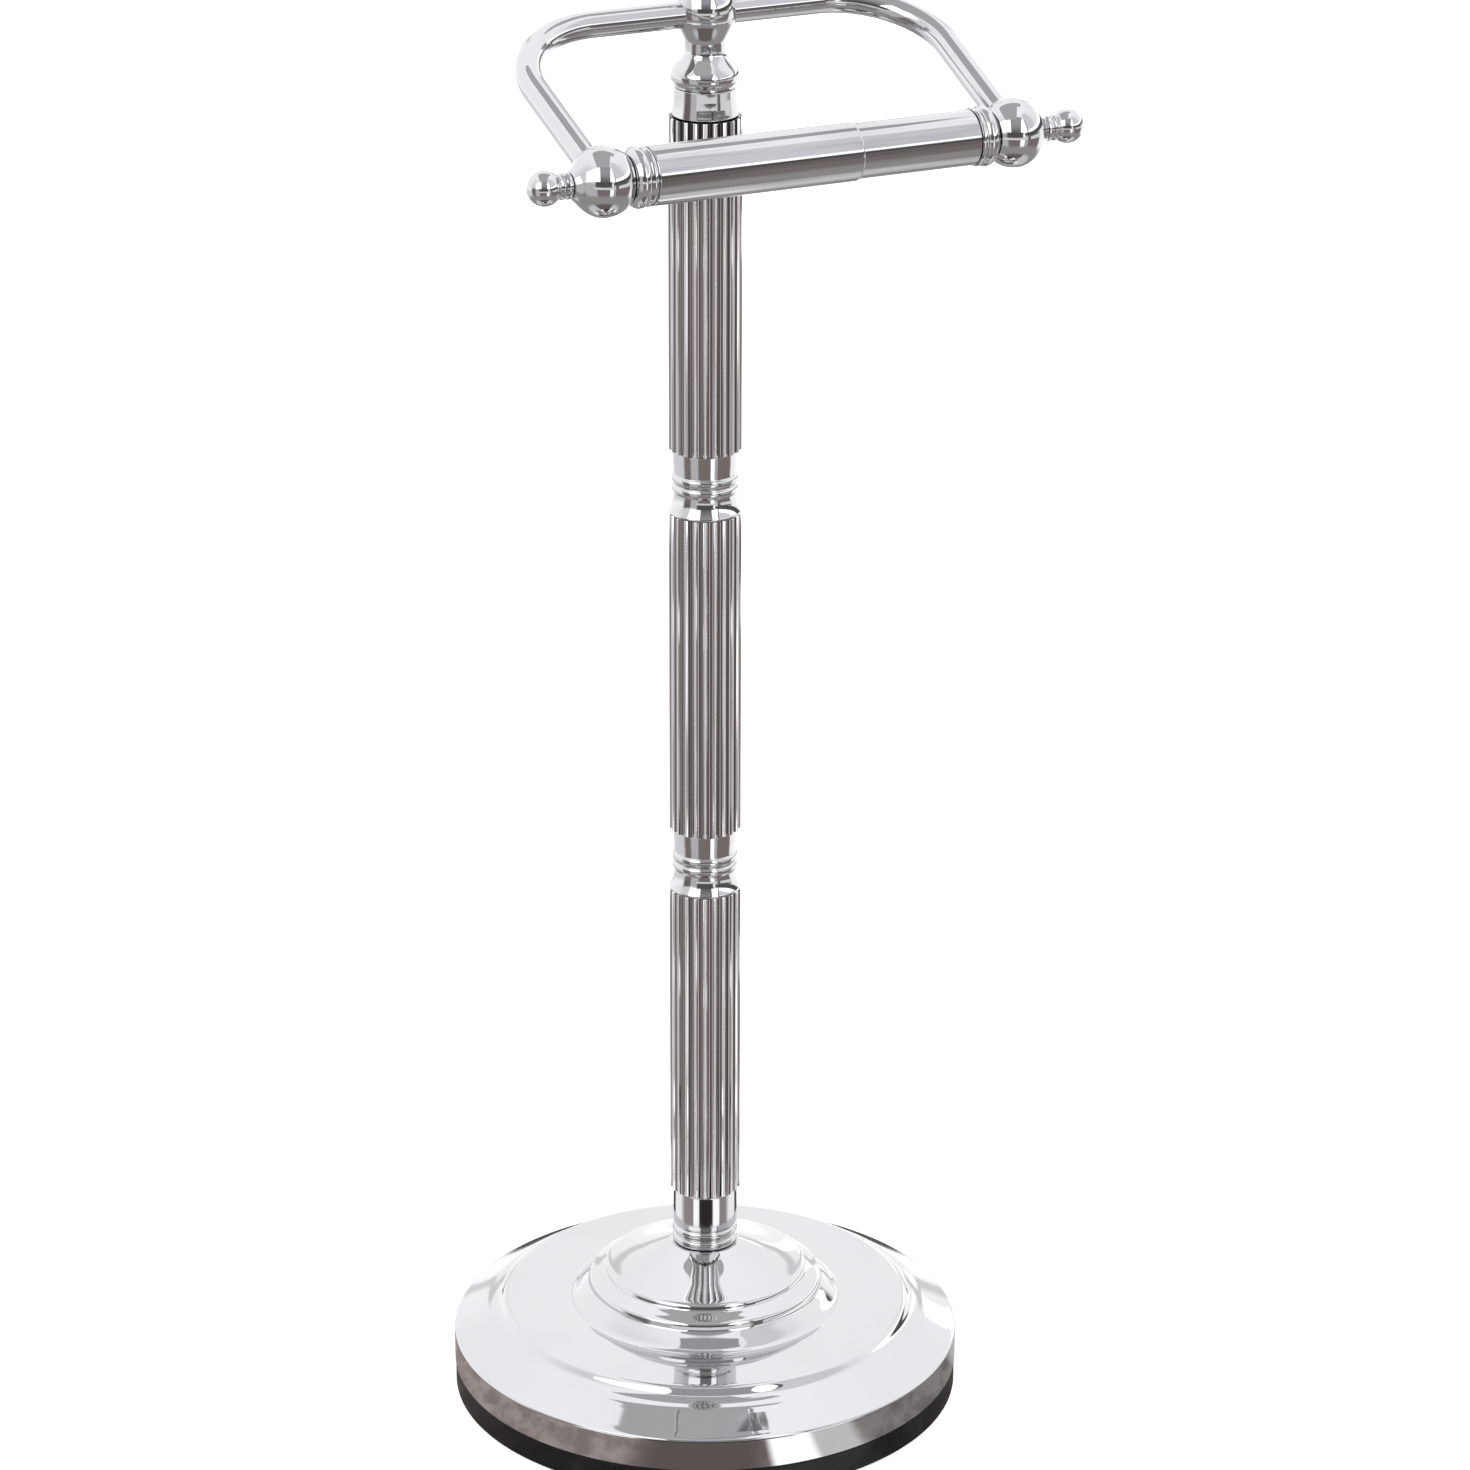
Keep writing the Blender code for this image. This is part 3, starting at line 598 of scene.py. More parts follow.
def grown(name, tree, values):
    """The plain mesh that a geometry node tree makes with these named values."""
    piece = linked(name, bpy.data.meshes.new(name))
    modifier = piece.modifiers.new("Grow", "NODES")
    modifier.node_group = tree
    for item in tree.interface.items_tree:
        if item.in_out == "INPUT" and item.name in values:
            modifier[item.identifier] = values[item.name]
    bpy.context.view_layer.update()
    made = bpy.data.meshes.new_from_object(piece.evaluated_get(bpy.context.evaluated_depsgraph_get()))
    piece.modifiers.clear()
    piece.data = made
    bm = bmesh.new()
    bm.from_mesh(made)
    bmesh.ops.recalc_face_normals(bm, faces=bm.faces)
    bm.to_mesh(made)
    bm.free()
    return piece


tube_tree = fluted_tube_tree()
tube_chrome = chrome_plate("tube_chrome", gloss=0.02, ripple=0.000001, ripple_size=90, smudge_size=60)


def shaded_hollows_lit_crests(material):
    """Duller plating and painted shade in the hollows, each a little different, and a painted highlight on the
    crests.
    """
    tree = material.node_tree
    shader = tree.nodes["Principled BSDF"]
    plain, haze = (shader.inputs[label].links[0].from_socket for label in ("Base Color", "Roughness"))
    x, y, z = node_of(tree, "ShaderNodeSeparateXYZ", {0: on_object(tree)})
    squares = math_node(tree, "ADD", product(tree, x, x), product(tree, y, y))
    reach = math_node(tree, "SQRT", squares)

    def between_depths(deep, shallow, *levels):
        low, high = ((CREST_RADIUS - FLUTE_DEPTH * share) * MM for share in (deep, shallow))
        return ramp(tree, reach, low, high, *levels)

    # painted shade: the hollows are darkened as a shaded recess would be, on top of their duller plating
    dull_shaded_hollow = between_depths(0.90, 0.50, 1.0, 0.0)
    # painted highlight: the crests' colour is raised close to white
    crest = between_depths(0.62, 0.22)
    direction = combined(
        tree, math_node(tree, "DIVIDE", x, reach), math_node(tree, "DIVIDE", y, reach),
        product(tree, z, 0.5),
    )
    cast = ramp(tree, noise(tree, direction, 7, 2), 0.35, 0.65)
    # painted shade: the hollows just under the top collar are painted near black, where the roller darkens them
    painted_shade_under_collar = product(tree, dull_shaded_hollow, ramp(tree, z, 0.490, 0.522))
    colour = layered(
        tree, plain, (dull_shaded_hollow, blended(tree, cast, (0.235, 0.212, 0.215), (0.35, 0.315, 0.305))),
        (painted_shade_under_collar, (0.06, 0.055, 0.055)), (crest, (0.97, 0.965, 0.97)),
    )
    wire(tree, colour, shader.inputs["Base Color"])
    wire(tree, added(tree, haze, (crest, 0.12)), shader.inputs["Roughness"])


shaded_hollows_lit_crests(tube_chrome)
for tube_node, tube_name in (
    ("lower_tube", "fluted_tube_low"), ("middle_tube", "fluted_tube_mid"), ("upper_tube", "fluted_tube_high"),
):
    tube_low, tube_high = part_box(tube_node)
    fluted = grown(tube_name, tube_tree, {
        "Flutes": FLUTES, "Points a Flute": POINTS_A_FLUTE, "Crest Radius": CREST_RADIUS * MM,
        "Flute Depth": FLUTE_DEPTH * MM, "Crest Round Share": CREST_ROUND_SHARE, "Bore Radius": TUBE_BORE * MM,
        "Edge": TUBE_EDGE * MM, "Bottom": tube_low.z, "Length": tube_high.z - tube_low.z, "Finish": tube_chrome,
    })
    dress(fluted, tube_chrome, "root", tube_node, crease=35)


# Joiner collars
# Turned brass collars with a bell foot, two round beads and a straight neck, chrome plated. Each stands
# on one fluted tube and plugs into the next.
SPIGOT_LENGTH = 8.0
joiner_outline = (
    eased([
        (ROD_BORE, 32.6), (11.6, 32.6), (11.6, 24.9), (12.2, 24.9), (12.38, 24.7), (12.3, 20.0), (12.1, 15.9),
    ], 0.12)
    + flowing([
        (12.15, 15.7), (12.45, 15.4), (12.82, 14.9), (12.95, 14.1), (12.93, 13.3), (12.7, 12.6), (12.35, 12.3),
    ], 3)
    + [(12.2, 12.0), (12.2, 11.7)]
    + flowing([
        (12.3, 11.5), (12.6, 11.2), (12.85, 10.6), (12.92, 9.9), (12.85, 9.2), (12.55, 8.5), (12.2, 8.2),
    ], 3)
    + flowing([
        (12.05, 8.0), (12.0, 7.2), (12.1, 6.0), (12.35, 4.7), (12.85, 3.1), (13.45, 1.7), (13.85, 0.9),
    ], 4)
    + [(13.98, 0.55), (14.0, 0.3), (13.9, 0.0), (11.6, 0.0), (11.6, -7.9), (ROD_BORE, -7.9)]
)
for joiner_node, joiner_name in (("lower_joiner", "low_joiner"), ("upper_joiner", "high_joiner")):
    joiner_foot = heights(joiner_node)[0] + SPIGOT_LENGTH
    joiner = turned(joiner_name, joiner_outline, COLLAR_SEGMENTS, joiner_foot)
    dress(joiner, column_chrome, "root", joiner_node)


# Top collar and vase neck
# Above the last tube come a smooth, slightly tapered collar and a slender turned neck with a round bead,
# both of chrome plated brass.
collar_foot = heights("top_collar")[0] + SPIGOT_LENGTH
top_collar_outline = eased([
    (ROD_BORE, 10.7), (11.6, 10.7), (11.75, 7.0), (11.95, 4.0), (12.25, 1.6), (12.45, 0.3), (12.3, 0.0), (11.6, 0.0),
    (11.6, -7.9), (ROD_BORE, -7.9),
], 0.3)
tapered_collar = turned("tapered_collar", top_collar_outline, COLLAR_SEGMENTS, collar_foot)
dress(tapered_collar, column_chrome, "root", "top_collar")
vase_outline = (
    [(ROD_BORE, 0.0), (ROD_BORE, 15.95), (7.58, 15.95)]
    + flowing([
        (7.6, 15.85), (7.55, 14.2), (7.6, 13.0), (8.0, 11.8), (8.9, 10.5), (10.2, 9.1), (11.4, 7.8), (12.4, 6.6),
        (13.0, 5.4), (13.15, 4.2), (13.05, 3.0), (12.6, 2.0), (12.0, 1.4), (11.7, 1.1),
    ], 4)
    + [(11.6, 0.8), (11.6, 0.0)]
)
head_chrome = chrome_plate("head_chrome", ripple=0.000006, ripple_size=90, smudge_size=60)
slender_neck = turned("slender_neck", vase_outline, COLLAR_SEGMENTS, heights("vase_neck")[0])
dress(slender_neck, head_chrome, "root", "vase_neck")


# Hub
# A flared cup with a ball in it, turned in one piece from brass and chrome plated. It is drilled
# crossways for the arms, and the finial above it clamps the column together.
HUB_BALL = 11.2
HUB_BALL_HEIGHT = 12.7


def ball_arc(radius, centre, first, last, steps):
    """An outline over a ball, from one angle off its top to another, in degrees."""
    angles = [math.radians(first + (last - first) * k / steps) for k in range(steps + 1)]
    return [(radius * math.sin(angle), centre + radius * math.cos(angle)) for angle in angles]


hub_outline = (
    [(ROD_BORE, 0.0), (ROD_BORE, 22.3), (5.5, 22.4)]
    + ball_arc(HUB_BALL, HUB_BALL_HEIGHT, 30.0, 102.0, 30)
    + [(10.88, 10.2), (10.86, 10.0)]
    + flowing([
        (11.0, 9.9), (11.3, 9.75), (11.38, 9.4), (11.25, 8.9), (10.9, 8.0), (10.2, 6.6), (9.3, 4.9), (8.45, 3.2),
        (7.9, 1.9), (7.65, 0.9), (7.6, 0.0),
    ], 4)
)
dress(turned("arm_hub", hub_outline, COLLAR_SEGMENTS, heights("hub")[0]), head_chrome, "root", "hub")


# Finial
# A small ball on a beaded neck, tapped inside for the rod's end. The photograph is cut off below it, so
# its shape follows the knobs at the roller's ends.
FINIAL_BALL = 7.6
finial_foot, finial_top = heights("top_finial")
finial_outline = (
    ball_arc(FINIAL_BALL, finial_top - finial_foot - FINIAL_BALL, 0.0, 132.0, 32)
    + flowing([(5.35, 5.8), (5.05, 5.3), (5.0, 4.6), (5.4, 3.9), (6.1, 3.2), (6.55, 2.3), (6.5, 1.3), (6.0, 0.5)], 4)
    + [(5.7, 0.1), (5.5, 0.0), (ROD_BORE, 0.0), (ROD_BORE, 9.0), (0.0, 9.0)]
)
ball_finial = turned("ball_finial", finial_outline, COLLAR_SEGMENTS, finial_foot, closed=False)
dress(ball_finial, head_chrome, "root", "top_finial")


# Arms
# Two solid round bars, bent once and chrome plated. Each leaves the hub level, sweeps forward and runs
# down into the bulb that holds its end of the roller.
ARM_RADIUS = 5.0
ARM_HALF_WIDTH = 83.7
ARM_BEND = 37.1
BULB_HALF_SPACING = 81.46
ROLLER_REACH = 90.6
ARM_HEIGHT = 565.8
ROLLER_HEIGHT = 533.3
DEPTH_IN_HUB = 8.9
SHORT_OF_BULB = 8.0


def on_roller_axis(x):
    return Vector((x, -ROLLER_REACH, ROLLER_HEIGHT))


def arm_line(side):
    """Points along an arm's middle, from inside the hub to inside the bulb, in mm."""
    corner = Vector((side * ARM_HALF_WIDTH, 0, ARM_HEIGHT))
    end = on_roller_axis(side * BULB_HALF_SPACING)
    back = Vector((-side, 0, 0))
    down = (end - corner).normalized()
    opening = back.angle(down)
    reach = ARM_BEND / math.tan(opening / 2)
    centre = corner + (back + down).normalized() * (ARM_BEND / math.sin(opening / 2))
    first = corner + back * reach - centre
    axis = first.cross(corner + down * reach - centre).normalized()
    steps = 40
    turns = [Matrix.Rotation((math.pi - opening) * k / steps, 3, axis) for k in range(steps + 1)]
    bend = [centre + turn @ first for turn in turns]
    return braced([Vector((side * DEPTH_IN_HUB, 0, ARM_HEIGHT)), *bend, end - down * SHORT_OF_BULB], 1.5)


def bar(name, line, radius, segments):
    """A round bar along points in mm, with flat ends."""
    angles = [math.tau * k / segments for k in range(segments)]
    sideways = (line[1] - line[0]).normalized().orthogonal()
    rings = []
    for i, point in enumerate(line):
        ahead = (line[min(i + 1, len(line) - 1)] - line[max(i - 1, 0)]).normalized()
        sideways = (sideways - ahead * sideways.dot(ahead)).normalized()
        upwards = ahead.cross(sideways)
        rings.append([point + (sideways * math.cos(a) + upwards * math.sin(a)) * radius for a in angles])
    return skinned(name, rings, caps=True)


arm_chrome = chrome_plate("arm_chrome", ripple=0.000006, ripple_size=70, smudge_size=40)
for arm_side, arm_word in ((-1, "left"), (1, "right")):
    arm = bar("bent_arm_" + arm_word, arm_line(arm_side), ARM_RADIUS, 64)
    dress(arm, arm_chrome, "root", arm_word + "_arm")


# Bulbs and knobs
# An onion-shaped socket, turned from brass and chrome plated, sits at the end of each arm. It is drilled
# for the roller's pin, and a small ball knob screws into its outer mouth.
BULB_SEGMENTS = 128
end_chrome = chrome_plate("end_chrome", ripple=0.000008, ripple_size=110, smudge_size=80)


def across_roller(side, distance):
    """The placement that turns a piece's axis outwards along the roller, at a distance from the middle."""
    turn = Matrix.Rotation(side * math.pi / 2, 4, "Y")
    return Matrix.Translation(on_roller_axis(side * distance) * MM) @ turn


bulb_outline = (
    [(0.0, 5.4), (2.5, 5.4), (2.5, 12.2), (4.6, 12.2), (4.85, 12.1)]
    + flowing([
        (5.2, 11.9), (5.7, 11.3), (6.5, 10.4), (7.6, 9.5), (8.7, 8.5), (9.8, 7.4), (10.9, 6.0), (11.8, 4.5),
        (12.5, 2.8), (12.88, 1.0), (12.9, -0.6), (12.7, -2.4), (12.2, -4.3), (11.4, -6.1), (10.4, -7.5), (9.5, -8.5),
    ], 4)
    + [(9.0, -9.1), (8.8, -9.3), (3.3, -9.3), (3.3, -3.0), (0.0, -3.0)]
)
KNOB_BALL = 6.35
KNOB_BALL_HEIGHT = 9.47
KNOB_REACH = 12.5
knob_outline = (
    ball_arc(KNOB_BALL, KNOB_BALL_HEIGHT, 0.0, 134.0, 30)
    + flowing([(4.35, 4.85), (4.2, 4.5), (4.5, 4.1), (4.85, 3.6), (4.85, 3.1), (4.45, 2.65)], 3)
    + flowing([(4.3, 2.5), (4.4, 2.2), (4.8, 1.6), (4.9, 0.9), (4.75, 0.2)], 3)
    + [(4.6, 0.0), (2.2, 0.0), (2.2, -6.5), (0.0, -6.5)]
)
for end_side, end_word in ((-1, "left"), (1, "right")):
    for end_name, end_outline, end_reach, end_node in (
        ("pin_bulb_", bulb_outline, BULB_HALF_SPACING, "_bulb"),
        ("end_knob_", knob_outline, BULB_HALF_SPACING + KNOB_REACH, "_knob"),
    ):
        end_place = across_roller(end_side, end_reach)
        end_piece = turned(end_name + end_word, end_outline, BULB_SEGMENTS, place=end_place, closed=False)
        dress(end_piece, end_chrome, "root", end_word + end_node)


# Roller
# Two thin drawn tubes slide in each other over a spring. Ringed caps with round pins close the ends and
# turn in the bulbs. Pressing the right half inwards frees its pin, and the roller lifts out.
ROLLER_SEGMENTS = 128
CAP_FACE = 71.76
TUBE_END = 63.66
roller_chrome = chrome_plate("roller_chrome", ripple=0.000003, ripple_size=60, smudge_size=32)


def drawn_lines(material, along, scale, depth):
    """Faint lines that drawing and buffing leave along a tube."""
    tree = material.node_tree
    colour = tree.nodes["Principled BSDF"].inputs["Base Color"]
    stretched = node_of(tree, "ShaderNodeMapping", {0: on_object(tree), "Scale": Vector((along, 1, 1))})[0]
    streak = ramp(tree, noise(tree, stretched, scale, 3, 0.6), 0.42, 0.66, 1.0, 1.0 - depth)
    plain = colour.links[0].from_socket
    wire(tree, node_of(tree, "ShaderNodeVectorMath", {0: plain, "Scale": streak}, operation="SCALE")[0], colour)


drawn_lines(roller_chrome, 0.04, 420, 0.16)
outer_sleeve = turned("outer_sleeve", eased([
    (10.5, TUBE_END), (10.7, TUBE_END - 0.3), (10.7, -15.7), (10.66, -16.1), (10.5, -16.4), (10.3, -16.5),
    (10.25, TUBE_END), (10.5, TUBE_END),
], 0.08)[:-1], ROLLER_SEGMENTS, place=across_roller(-1, 0))
dress(outer_sleeve, roller_chrome, "roller_outer", "roller_outer_tube")
inner_sleeve = turned("inner_sleeve", [
    (0.0, -8.0), (9.8, -8.0), (10.1, -7.7), (10.1, TUBE_END - 0.2), (9.9, TUBE_END), (9.5, TUBE_END), (9.5, -7.4),
    (0.0, -7.4),
], ROLLER_SEGMENTS, place=across_roller(1, 0), closed=False)
dress(inner_sleeve, roller_chrome, "roller_inner", "roller_inner_tube")


def ringed_cap(name, side, spigot):
    """An end cap with its pin. The spigot's radius is that of the tube it plugs."""
    outline = (
        [(0.0, 5.6), (2.6, 5.6), (2.9, 5.35), (3.0, 5.0), (3.0, 0.0), (8.4, 0.0)]
        + flowing([
            (8.8, -0.05), (9.3, -0.3), (9.9, -0.9), (10.6, -1.6), (11.0, -2.4), (11.15, -3.2), (11.05, -4.1),
            (10.7, -4.8), (10.3, -5.2),
        ], 4)
        + flowing([(10.2, -5.4), (10.3, -5.7), (10.6, -6.1), (10.78, -6.7), (10.72, -7.3), (10.5, -7.7)], 3)
        + [(10.4, -7.8), (spigot, -7.8), (spigot, -13.7), (spigot - 0.2, -13.8), (0.0, -13.8)]
    )
    return turned(name, outline, BULB_SEGMENTS, place=across_roller(side, CAP_FACE), closed=False)


dress(ringed_cap("ringed_cap_left", -1, 10.0), end_chrome, "roller_outer", "roller_left_cap")
dress(ringed_cap("ringed_cap_right", 1, 9.2), end_chrome, "roller_inner", "roller_right_cap")


# Roller spring
# Nine turns of plated steel wire push the two roller tubes apart. The end coils are wound closer than the
# rest, so that they stand square against the left cap and against the end of the inner tube.
COILS = 9
POINTS_A_COIL = 40
POINTS_ROUND_WIRE = 14
COIL_RADIUS = 7.0
WIRE_RADIUS = 0.5
CLOSED_SHARE = 0.55


def spring_tree():
    """Geometry nodes for the spring: a line wound about the roller's axis, with a round wire along it."""
    tree, given, number, times = growing_tree(
        "roller_coil", Int=("Coils", "Points a Coil"), Vector=("Left End",),
        Float=("Length", "Coil Radius", "Wire Radius", "Closed Share"),
    )
    steps = times(given["Coils"], given["Points a Coil"])
    line = node_of(tree, "GeometryNodeMeshLine", {"Count": number("ADD", steps, 1)})["Mesh"]
    index = tree.nodes.new("GeometryNodeInputIndex").outputs[0]
    angle = number("DIVIDE", times(index, math.tau), given["Points a Coil"])
    whole = number("DIVIDE", times(index, math.tau), steps)
    drawn_in = times(number("SINE", whole), given["Closed Share"])
    share = number("DIVIDE", number("SUBTRACT", whole, drawn_in), math.tau)
    from_left = combined(
        tree, times(given["Length"], share),
        times(given["Coil Radius"], number("COSINE", angle)),
        times(given["Coil Radius"], number("SINE", angle)),
    )
    place = node_of(tree, "ShaderNodeVectorMath", {0: given["Left End"], 1: from_left})[0]
    wound = node_of(tree, "GeometryNodeSetPosition", {"Geometry": line, "Position": place})[0]
    wire_round = {"Resolution": POINTS_ROUND_WIRE, "Radius": given["Wire Radius"]}
    drawn = node_of(tree, "GeometryNodeCurveToMesh", {
        "Curve": node_of(tree, "GeometryNodeMeshToCurve", {"Mesh": wound})[0],
        "Profile Curve": node_of(tree, "GeometryNodeCurvePrimitiveCircle", wire_round)["Curve"], "Fill Caps": True,
    })[0]
    return finished_tree(tree, drawn, given["Finish"])


coil_low, coil_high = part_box("roller_spring")
coil_axis = ((coil_low.y + coil_high.y) / 2, (coil_low.z + coil_high.z) / 2)
spring_wire = plated_steel("spring_wire", (0.52, 0.50, 0.47))
coil = grown("wound_spring", spring_tree(), {
    "Coils": COILS, "Points a Coil": POINTS_A_COIL, "Left End": (coil_low.x + WIRE_RADIUS * MM, *coil_axis),
    "Length": coil_high.x - coil_low.x - 2 * WIRE_RADIUS * MM, "Coil Radius": COIL_RADIUS * MM,
    "Wire Radius": WIRE_RADIUS * MM, "Closed Share": CLOSED_SHARE, "Finish": spring_wire,
})
dress(coil, spring_wire, "roller_outer", "roller_spring", crease=60)
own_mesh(coil)


# Studio
# A pale floor under two tall soft boxes beside the camera and a bright ceiling, which a grey flag over
# the camera divides. The chrome shows all of them, so their places are those of its reflections.
VIEW_AZIMUTH = -0.4362
VIEW_ELEVATION = 0.3722
VIEW_ROLL = 0.0024
VIEW_DISTANCE = 2059.066
FOCAL_PIXELS = 5300
PICTURE_PIXELS = 1470
SENSOR_WIDTH = 36
VIEW_HEIGHT = 280
VIEW_SHIFT_RIGHT = 11.6004
VIEW_SHIFT_UP = -0.3323
CHROME_REFLECTANCE = 0.61
FLOOR_RADIUS = 9
CLOSE_EDGE = (0.148, 0.156)
FLOOR_EDGE = (0.19, 0.23)
FLAG_HEIGHT = 1.2
FLAG_GREY = (0.355, 0.352, 0.36)
towards = Vector((math.sin(VIEW_AZIMUTH), -math.cos(VIEW_AZIMUTH), 0))
rightwards = Vector((math.cos(VIEW_AZIMUTH), math.sin(VIEW_AZIMUTH), 0))


def toward_and_across(tree, place):
    """How far a place or direction lies towards the camera's side, to its right, and up."""
    return [
        node_of(tree, "ShaderNodeVectorMath", {0: place, 1: direction}, operation="DOT_PRODUCT")["Value"]
        for direction in (towards, rightwards, Vector((0, 0, 1)))
    ]


def window(tree, value, middle, half, soft):
    """One inside a band about middle, easing to zero outside it."""
    away = math_node(tree, "ABSOLUTE", math_node(tree, "SUBTRACT", value, middle))
    return ramp(tree, away, half, half + soft, 1.0, 0.0)


def mixed(tree, factor, first, second):
    """Mixes two shaders."""
    return node_of(tree, "ShaderNodeMixShader", {0: factor, 1: first, 2: second})[0]


def chrome_only(tree, colour, otherwise, clear=None):
    """Shows the chrome a glow of this colour, which may clear away, and anything else the other shader."""
    glow = node_of(tree, "ShaderNodeEmission", {"Color": colour, "Strength": 1 / CHROME_REFLECTANCE})[0]
    if clear is not None:
        glow = mixed(tree, clear, glow, node_of(tree, "ShaderNodeBsdfTransparent", {})[0])
    glossy = tree.nodes.new("ShaderNodeLightPath").outputs["Is Glossy Ray"]
    wire(tree, mixed(tree, glossy, otherwise, glow), tree.nodes["Material Output"].inputs["Surface"])


def studio_floor_material():
    """White to the camera. Chrome sees only what is close round the foot, and past it the studio's walls."""
    material, tree, shader, place = new_finish("pale_floor")
    shader.inputs["Roughness"].default_value = 0.9
    shader.inputs["Specular IOR Level"].default_value = 0.0
    paper = blended(tree, noise(tree, place, 3.0, 2), (0.80, 0.80, 0.80), (0.84, 0.84, 0.84))
    wire(tree, paper, shader.inputs["Base Color"])
    shader.inputs["Emission Color"].default_value = (1, 1, 1, 1)
    shader.inputs["Emission Strength"].default_value = 0.75
    front, side, _ = toward_and_across(tree, place)
    angle = math_node(tree, "ARCTAN2", side, front)
    turned_away = math_node(tree, "ABSOLUTE", angle)
    squares = math_node(tree, "ADD", product(tree, front, front), product(tree, side, side))
    reach = math_node(tree, "SQRT", squares)
    boards = ramp(tree, noise(tree, place, 55, 3, 0.6), 0.38, 0.62)
    left_boards = blended(tree, boards, (0.195, 0.165, 0.155), (0.30, 0.262, 0.25))
    right_boards = blended(tree, boards, (0.13, 0.118, 0.115), (0.20, 0.185, 0.18))
    close = layered(
        tree, blended(tree, ramp(tree, angle, 0.70, 0.90), left_boards, right_boards),
        (window(tree, angle, 0.0, 0.20, 0.25), (0.100, 0.083, 0.078)),
        (window(tree, angle, 0.62, 0.13, 0.08), (0.50, 0.49, 0.49)),
        (window(tree, angle, 0.44, 0.09, 0.05), (1.0, 1.0, 1.0)),
        (ramp(tree, angle, 1.60, 1.72), (0.33, 0.32, 0.32)),
        (ramp(tree, turned_away, 1.98, 2.06), (0.045, 0.043, 0.043)),
    )
    wider = layered(
        tree, blended(tree, ramp(tree, turned_away, 1.3, 1.7), (0.24, 0.22, 0.22), (0.80, 0.80, 0.80)),
        (window(tree, angle, -0.54, 0.15, 0.05), (0.95, 0.95, 0.95)),
        (window(tree, angle, 0.70, 0.18, 0.05), (0.95, 0.95, 0.95)),
        (window(tree, angle, 0.06, 0.34, 0.08), (0.022, 0.020, 0.020)),
        (ramp(tree, turned_away, 2.2, 2.35), (0.075, 0.072, 0.072)),
    )
    colour = blended(tree, ramp(tree, reach, *CLOSE_EDGE), close, wider)
    chrome_only(tree, colour, shader.outputs[0], clear=ramp(tree, reach, *FLOOR_EDGE))
    return material


floor_mesh = bpy.data.meshes.new("studio_floor")
floor_bm = bmesh.new()
bmesh.ops.create_circle(floor_bm, cap_ends=True, segments=96, radius=FLOOR_RADIUS)
floor_bm.to_mesh(floor_mesh)
floor_bm.free()
floor_mesh.materials.append(studio_floor_material())
linked("studio_floor", floor_mesh)


def grey_card(name, corners, height, level):
    """A flat, level card that only the chrome sees. Corners are given as ahead and aside in metres."""
    mesh = bpy.data.meshes.new(name)
    places = [towards * front + rightwards * side + Vector((0, 0, height)) for front, side in corners]
    mesh.from_pydata(places, [], [tuple(range(len(corners)))])
    material = bpy.data.materials.new(name)
    material.use_nodes = True
    tree = material.node_tree
    tree.nodes.remove(tree.nodes["Principled BSDF"])
    chrome_only(tree, level, node_of(tree, "ShaderNodeBsdfTransparent", {})[0])
    mesh.materials.append(material)
    linked(name, mesh)


grey_card("overhead_flag", [
    (0.50, -0.36), (0.50, 0.20), (-0.12, 0.20), (-0.18, 0.31), (-0.36, 0.30), (-0.40, 0.22), (-0.40, -0.32),
    (-0.36, -0.40), (-0.18, -0.40),
], FLAG_HEIGHT, FLAG_GREY)

# The walls round the stand, told apart by azimuth from the camera, height above the eye and pitch overhead
world = bpy.data.worlds.new("soft_studio")
bpy.context.scene.world = world
world.use_nodes = True
sky = world.node_tree
ahead, aside, above = toward_and_across(sky, sky.nodes.new("ShaderNodeTexCoord").outputs["Generated"])
azimuth = math_node(sky, "ARCTAN2", aside, ahead)
pitch = math_node(sky, "ARCTAN2", above, ahead)
band, past, meet, tones = (partial(maker, sky) for maker in (window, ramp, product, blended))

box_rows = band(pitch, 0.63, 0.38, 0.03)
left_box = meet(band(aside, -0.52, 0.25, 0.02), box_rows)
right_box = meet(past(aside, 0.36, 0.38), past(azimuth, 0.76, 0.78, 1.0, 0.0), box_rows)
soft_boxes = math_node(sky, "MAXIMUM", left_box, right_box)
stand_bar = meet(band(azimuth, 0.80, 0.022, 0.01), box_rows)
flag_over_camera = meet(band(aside, 0.05, 0.31, 0.02), band(pitch, 0.62, 0.50, 0.03))
flag_shade = tones(past(pitch, 0.15, 0.75), (0.11, 0.10, 0.098), (0.285, 0.283, 0.293))
right_side = past(azimuth, 0.82, 0.86)
right_wall = meet(right_side, past(azimuth, 1.35, 1.6, 1.0, 0.0), past(above, 0.86, 0.94, 1.0, 0.0))
right_glow = meet(right_side, band(above, 0.235, 0.055, 0.02))
back_corners = band(math_node(sky, "ABSOLUTE", azimuth), 2.83, 0.01, 0.04)
wall_gap = meet(back_corners, band(above, 0.28, 0.26, 0.05))
upper = layered(
    sky, tones(past(ahead, -0.35, 0.35), (0.80, 0.80, 0.812), (0.60, 0.60, 0.612)),
    (past(above, 0.55, 0.95), (0.84, 0.84, 0.86)), (flag_over_camera, flag_shade),
    (soft_boxes, (1.35, 1.35, 1.35)), (stand_bar, (0.10, 0.10, 0.10)), (right_wall, (0.57, 0.575, 0.60)),
    (right_glow, (1.2, 1.2, 1.2)), (wall_gap, (0.56, 0.56, 0.57)),
)

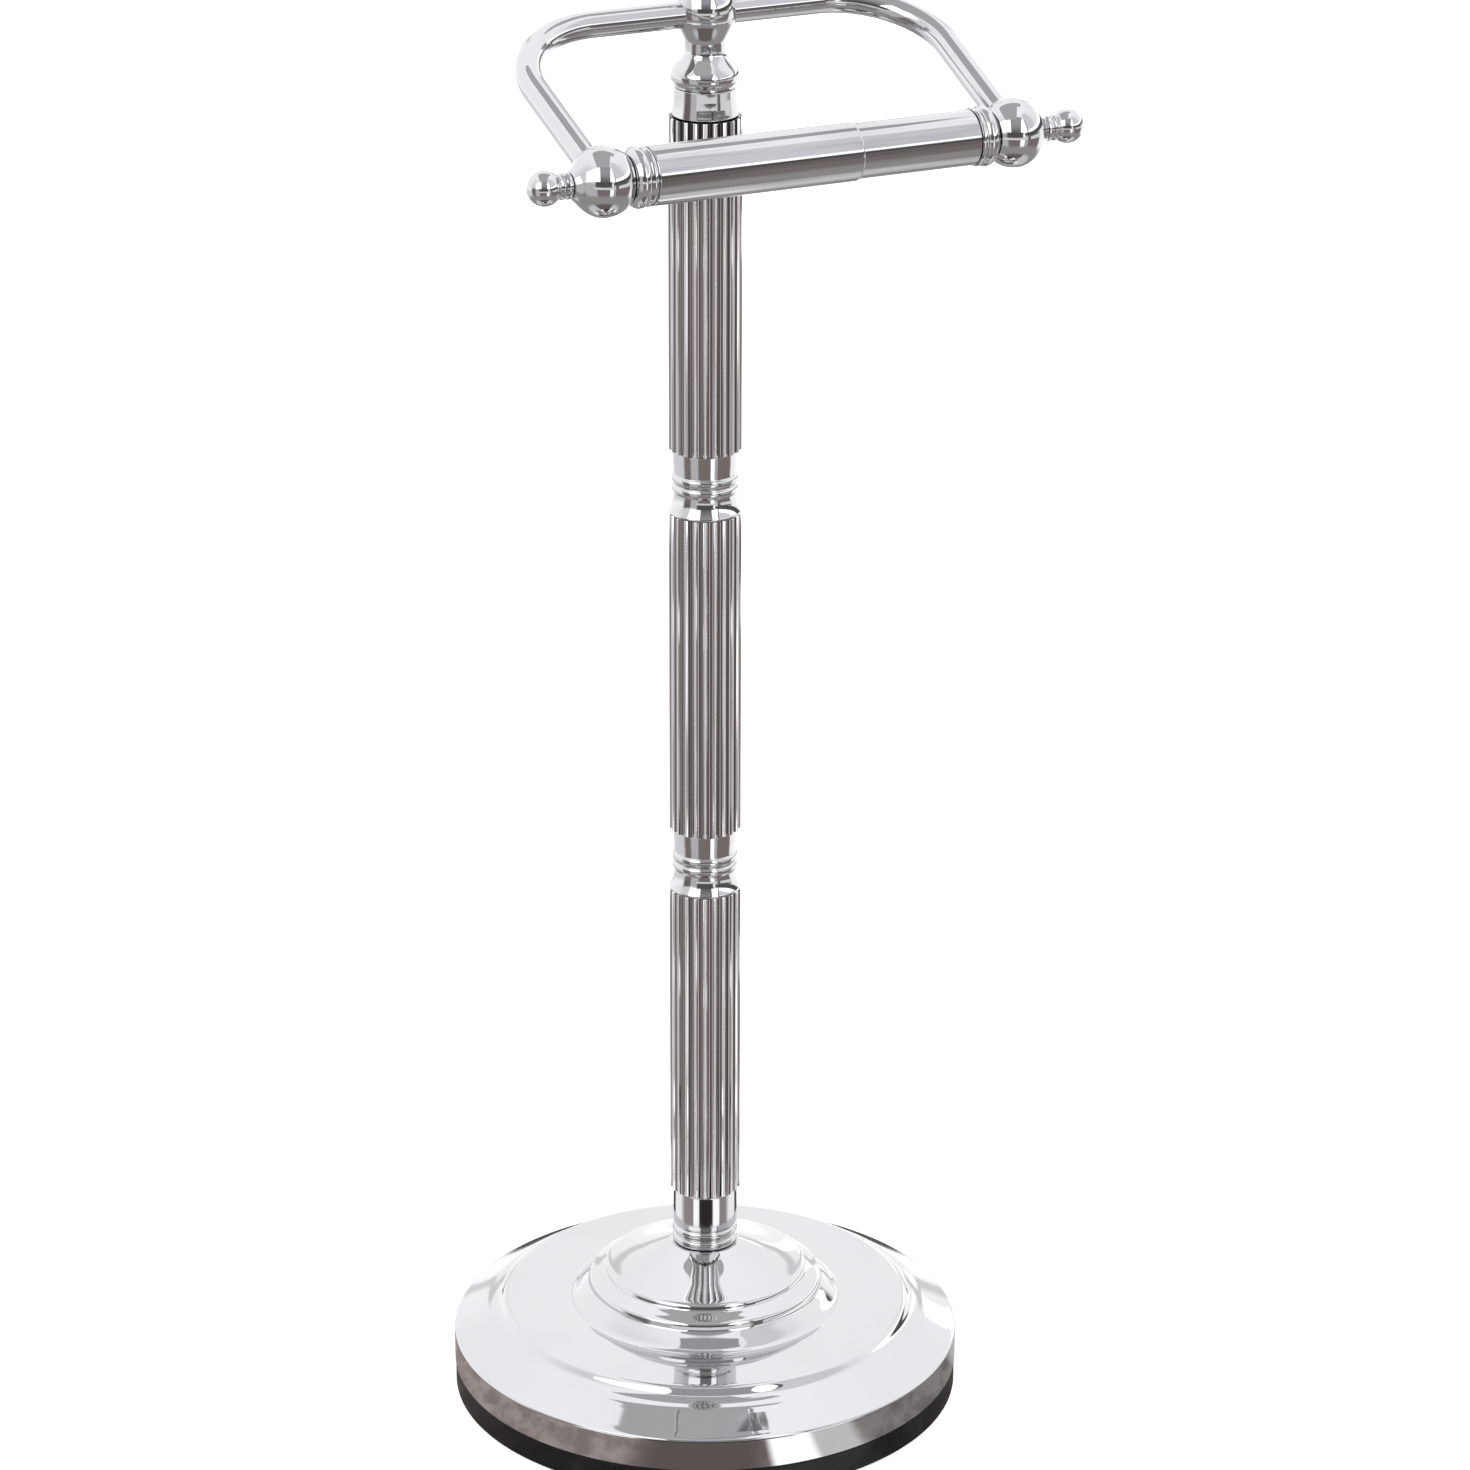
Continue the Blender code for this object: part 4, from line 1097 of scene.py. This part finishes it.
near_eye = past(above, -0.30, -0.10)
behind_left = past(azimuth, -1.55, -1.30, 1.0, 0.0)
behind_right = past(azimuth, 1.72, 1.92)
far_sides = math_node(sky, "ADD", band(azimuth, 0.10, 0.62, 0.06), band(azimuth, 1.40, 0.38, 0.06))
far_wall = meet(far_sides, band(above, -0.125, 0.060, 0.02))
ground = layered(
    sky, tones(near_eye, (0.165, 0.140, 0.135), (0.125, 0.110, 0.110)),
    (band(azimuth, -0.68, 0.18, 0.14), (0.42, 0.41, 0.42)), (band(azimuth, 0.68, 0.08, 0.08), (0.38, 0.37, 0.37)),
    (band(azimuth, 0.48, 0.10, 0.05), (1.05, 1.05, 1.05)),
    (behind_left, tones(near_eye, (0.58, 0.58, 0.59), (0.84, 0.84, 0.85))), (behind_right, (0.85, 0.85, 0.86)),
    (far_wall, (0.60, 0.60, 0.61)),
)
below = layered(
    sky, tones(band(azimuth, 0.0, 0.80, 0.30), (0.50, 0.50, 0.51), (0.115, 0.10, 0.095)),
    (past(above, -0.90, -0.82), (0.25, 0.238, 0.242)),
)
ground = tones(past(above, -0.62, -0.45), below, ground)

dark_middle = meet(band(azimuth, 0.0, 0.45, 0.12), band(above, 0.07, 0.12, 0.05))
dark_line = meet(past(aside, 0.55, 0.65), band(above, 0.090, 0.065, 0.02))
horizon_dark = math_node(sky, "MAXIMUM", dark_middle, dark_line)
in_front = past(ahead, -0.2, 0.1)
behind = math_node(sky, "SUBTRACT", 1.0, in_front)
edge = math_node(sky, "ADD", meet(in_front, past(above, 0.07, 0.16)), meet(behind, past(above, -0.03, 0.03)))
background = sky.nodes["Background"]
whole = layered(sky, ground, (edge, upper), (horizon_dark, (0.075, 0.070, 0.070)))
wire(sky, whole, background.inputs["Color"])
background.inputs["Strength"].default_value = 1 / CHROME_REFLECTANCE

camera_data = bpy.data.cameras.new("view")
camera = linked("view", camera_data)
camera_data.sensor_width = SENSOR_WIDTH
camera_data.lens = FOCAL_PIXELS / PICTURE_PIXELS * SENSOR_WIDTH
camera_data.clip_start = 0.05
camera_data.clip_end = 60
backwards = towards * math.cos(VIEW_ELEVATION) + Vector((0, 0, math.sin(VIEW_ELEVATION)))
upwards = backwards.cross(rightwards)
frame_right = rightwards * math.cos(VIEW_ROLL) + upwards * math.sin(VIEW_ROLL)
frame_up = upwards * math.cos(VIEW_ROLL) - rightwards * math.sin(VIEW_ROLL)
aim = Vector((0, 0, VIEW_HEIGHT)) + frame_right * VIEW_SHIFT_RIGHT + frame_up * VIEW_SHIFT_UP
facing = Matrix((frame_right, frame_up, backwards)).transposed().to_4x4()
camera.matrix_world = Matrix.Translation((aim + backwards * VIEW_DISTANCE) * MM) @ facing
bpy.context.scene.camera = camera
bpy.context.scene.view_settings.view_transform = "Standard"
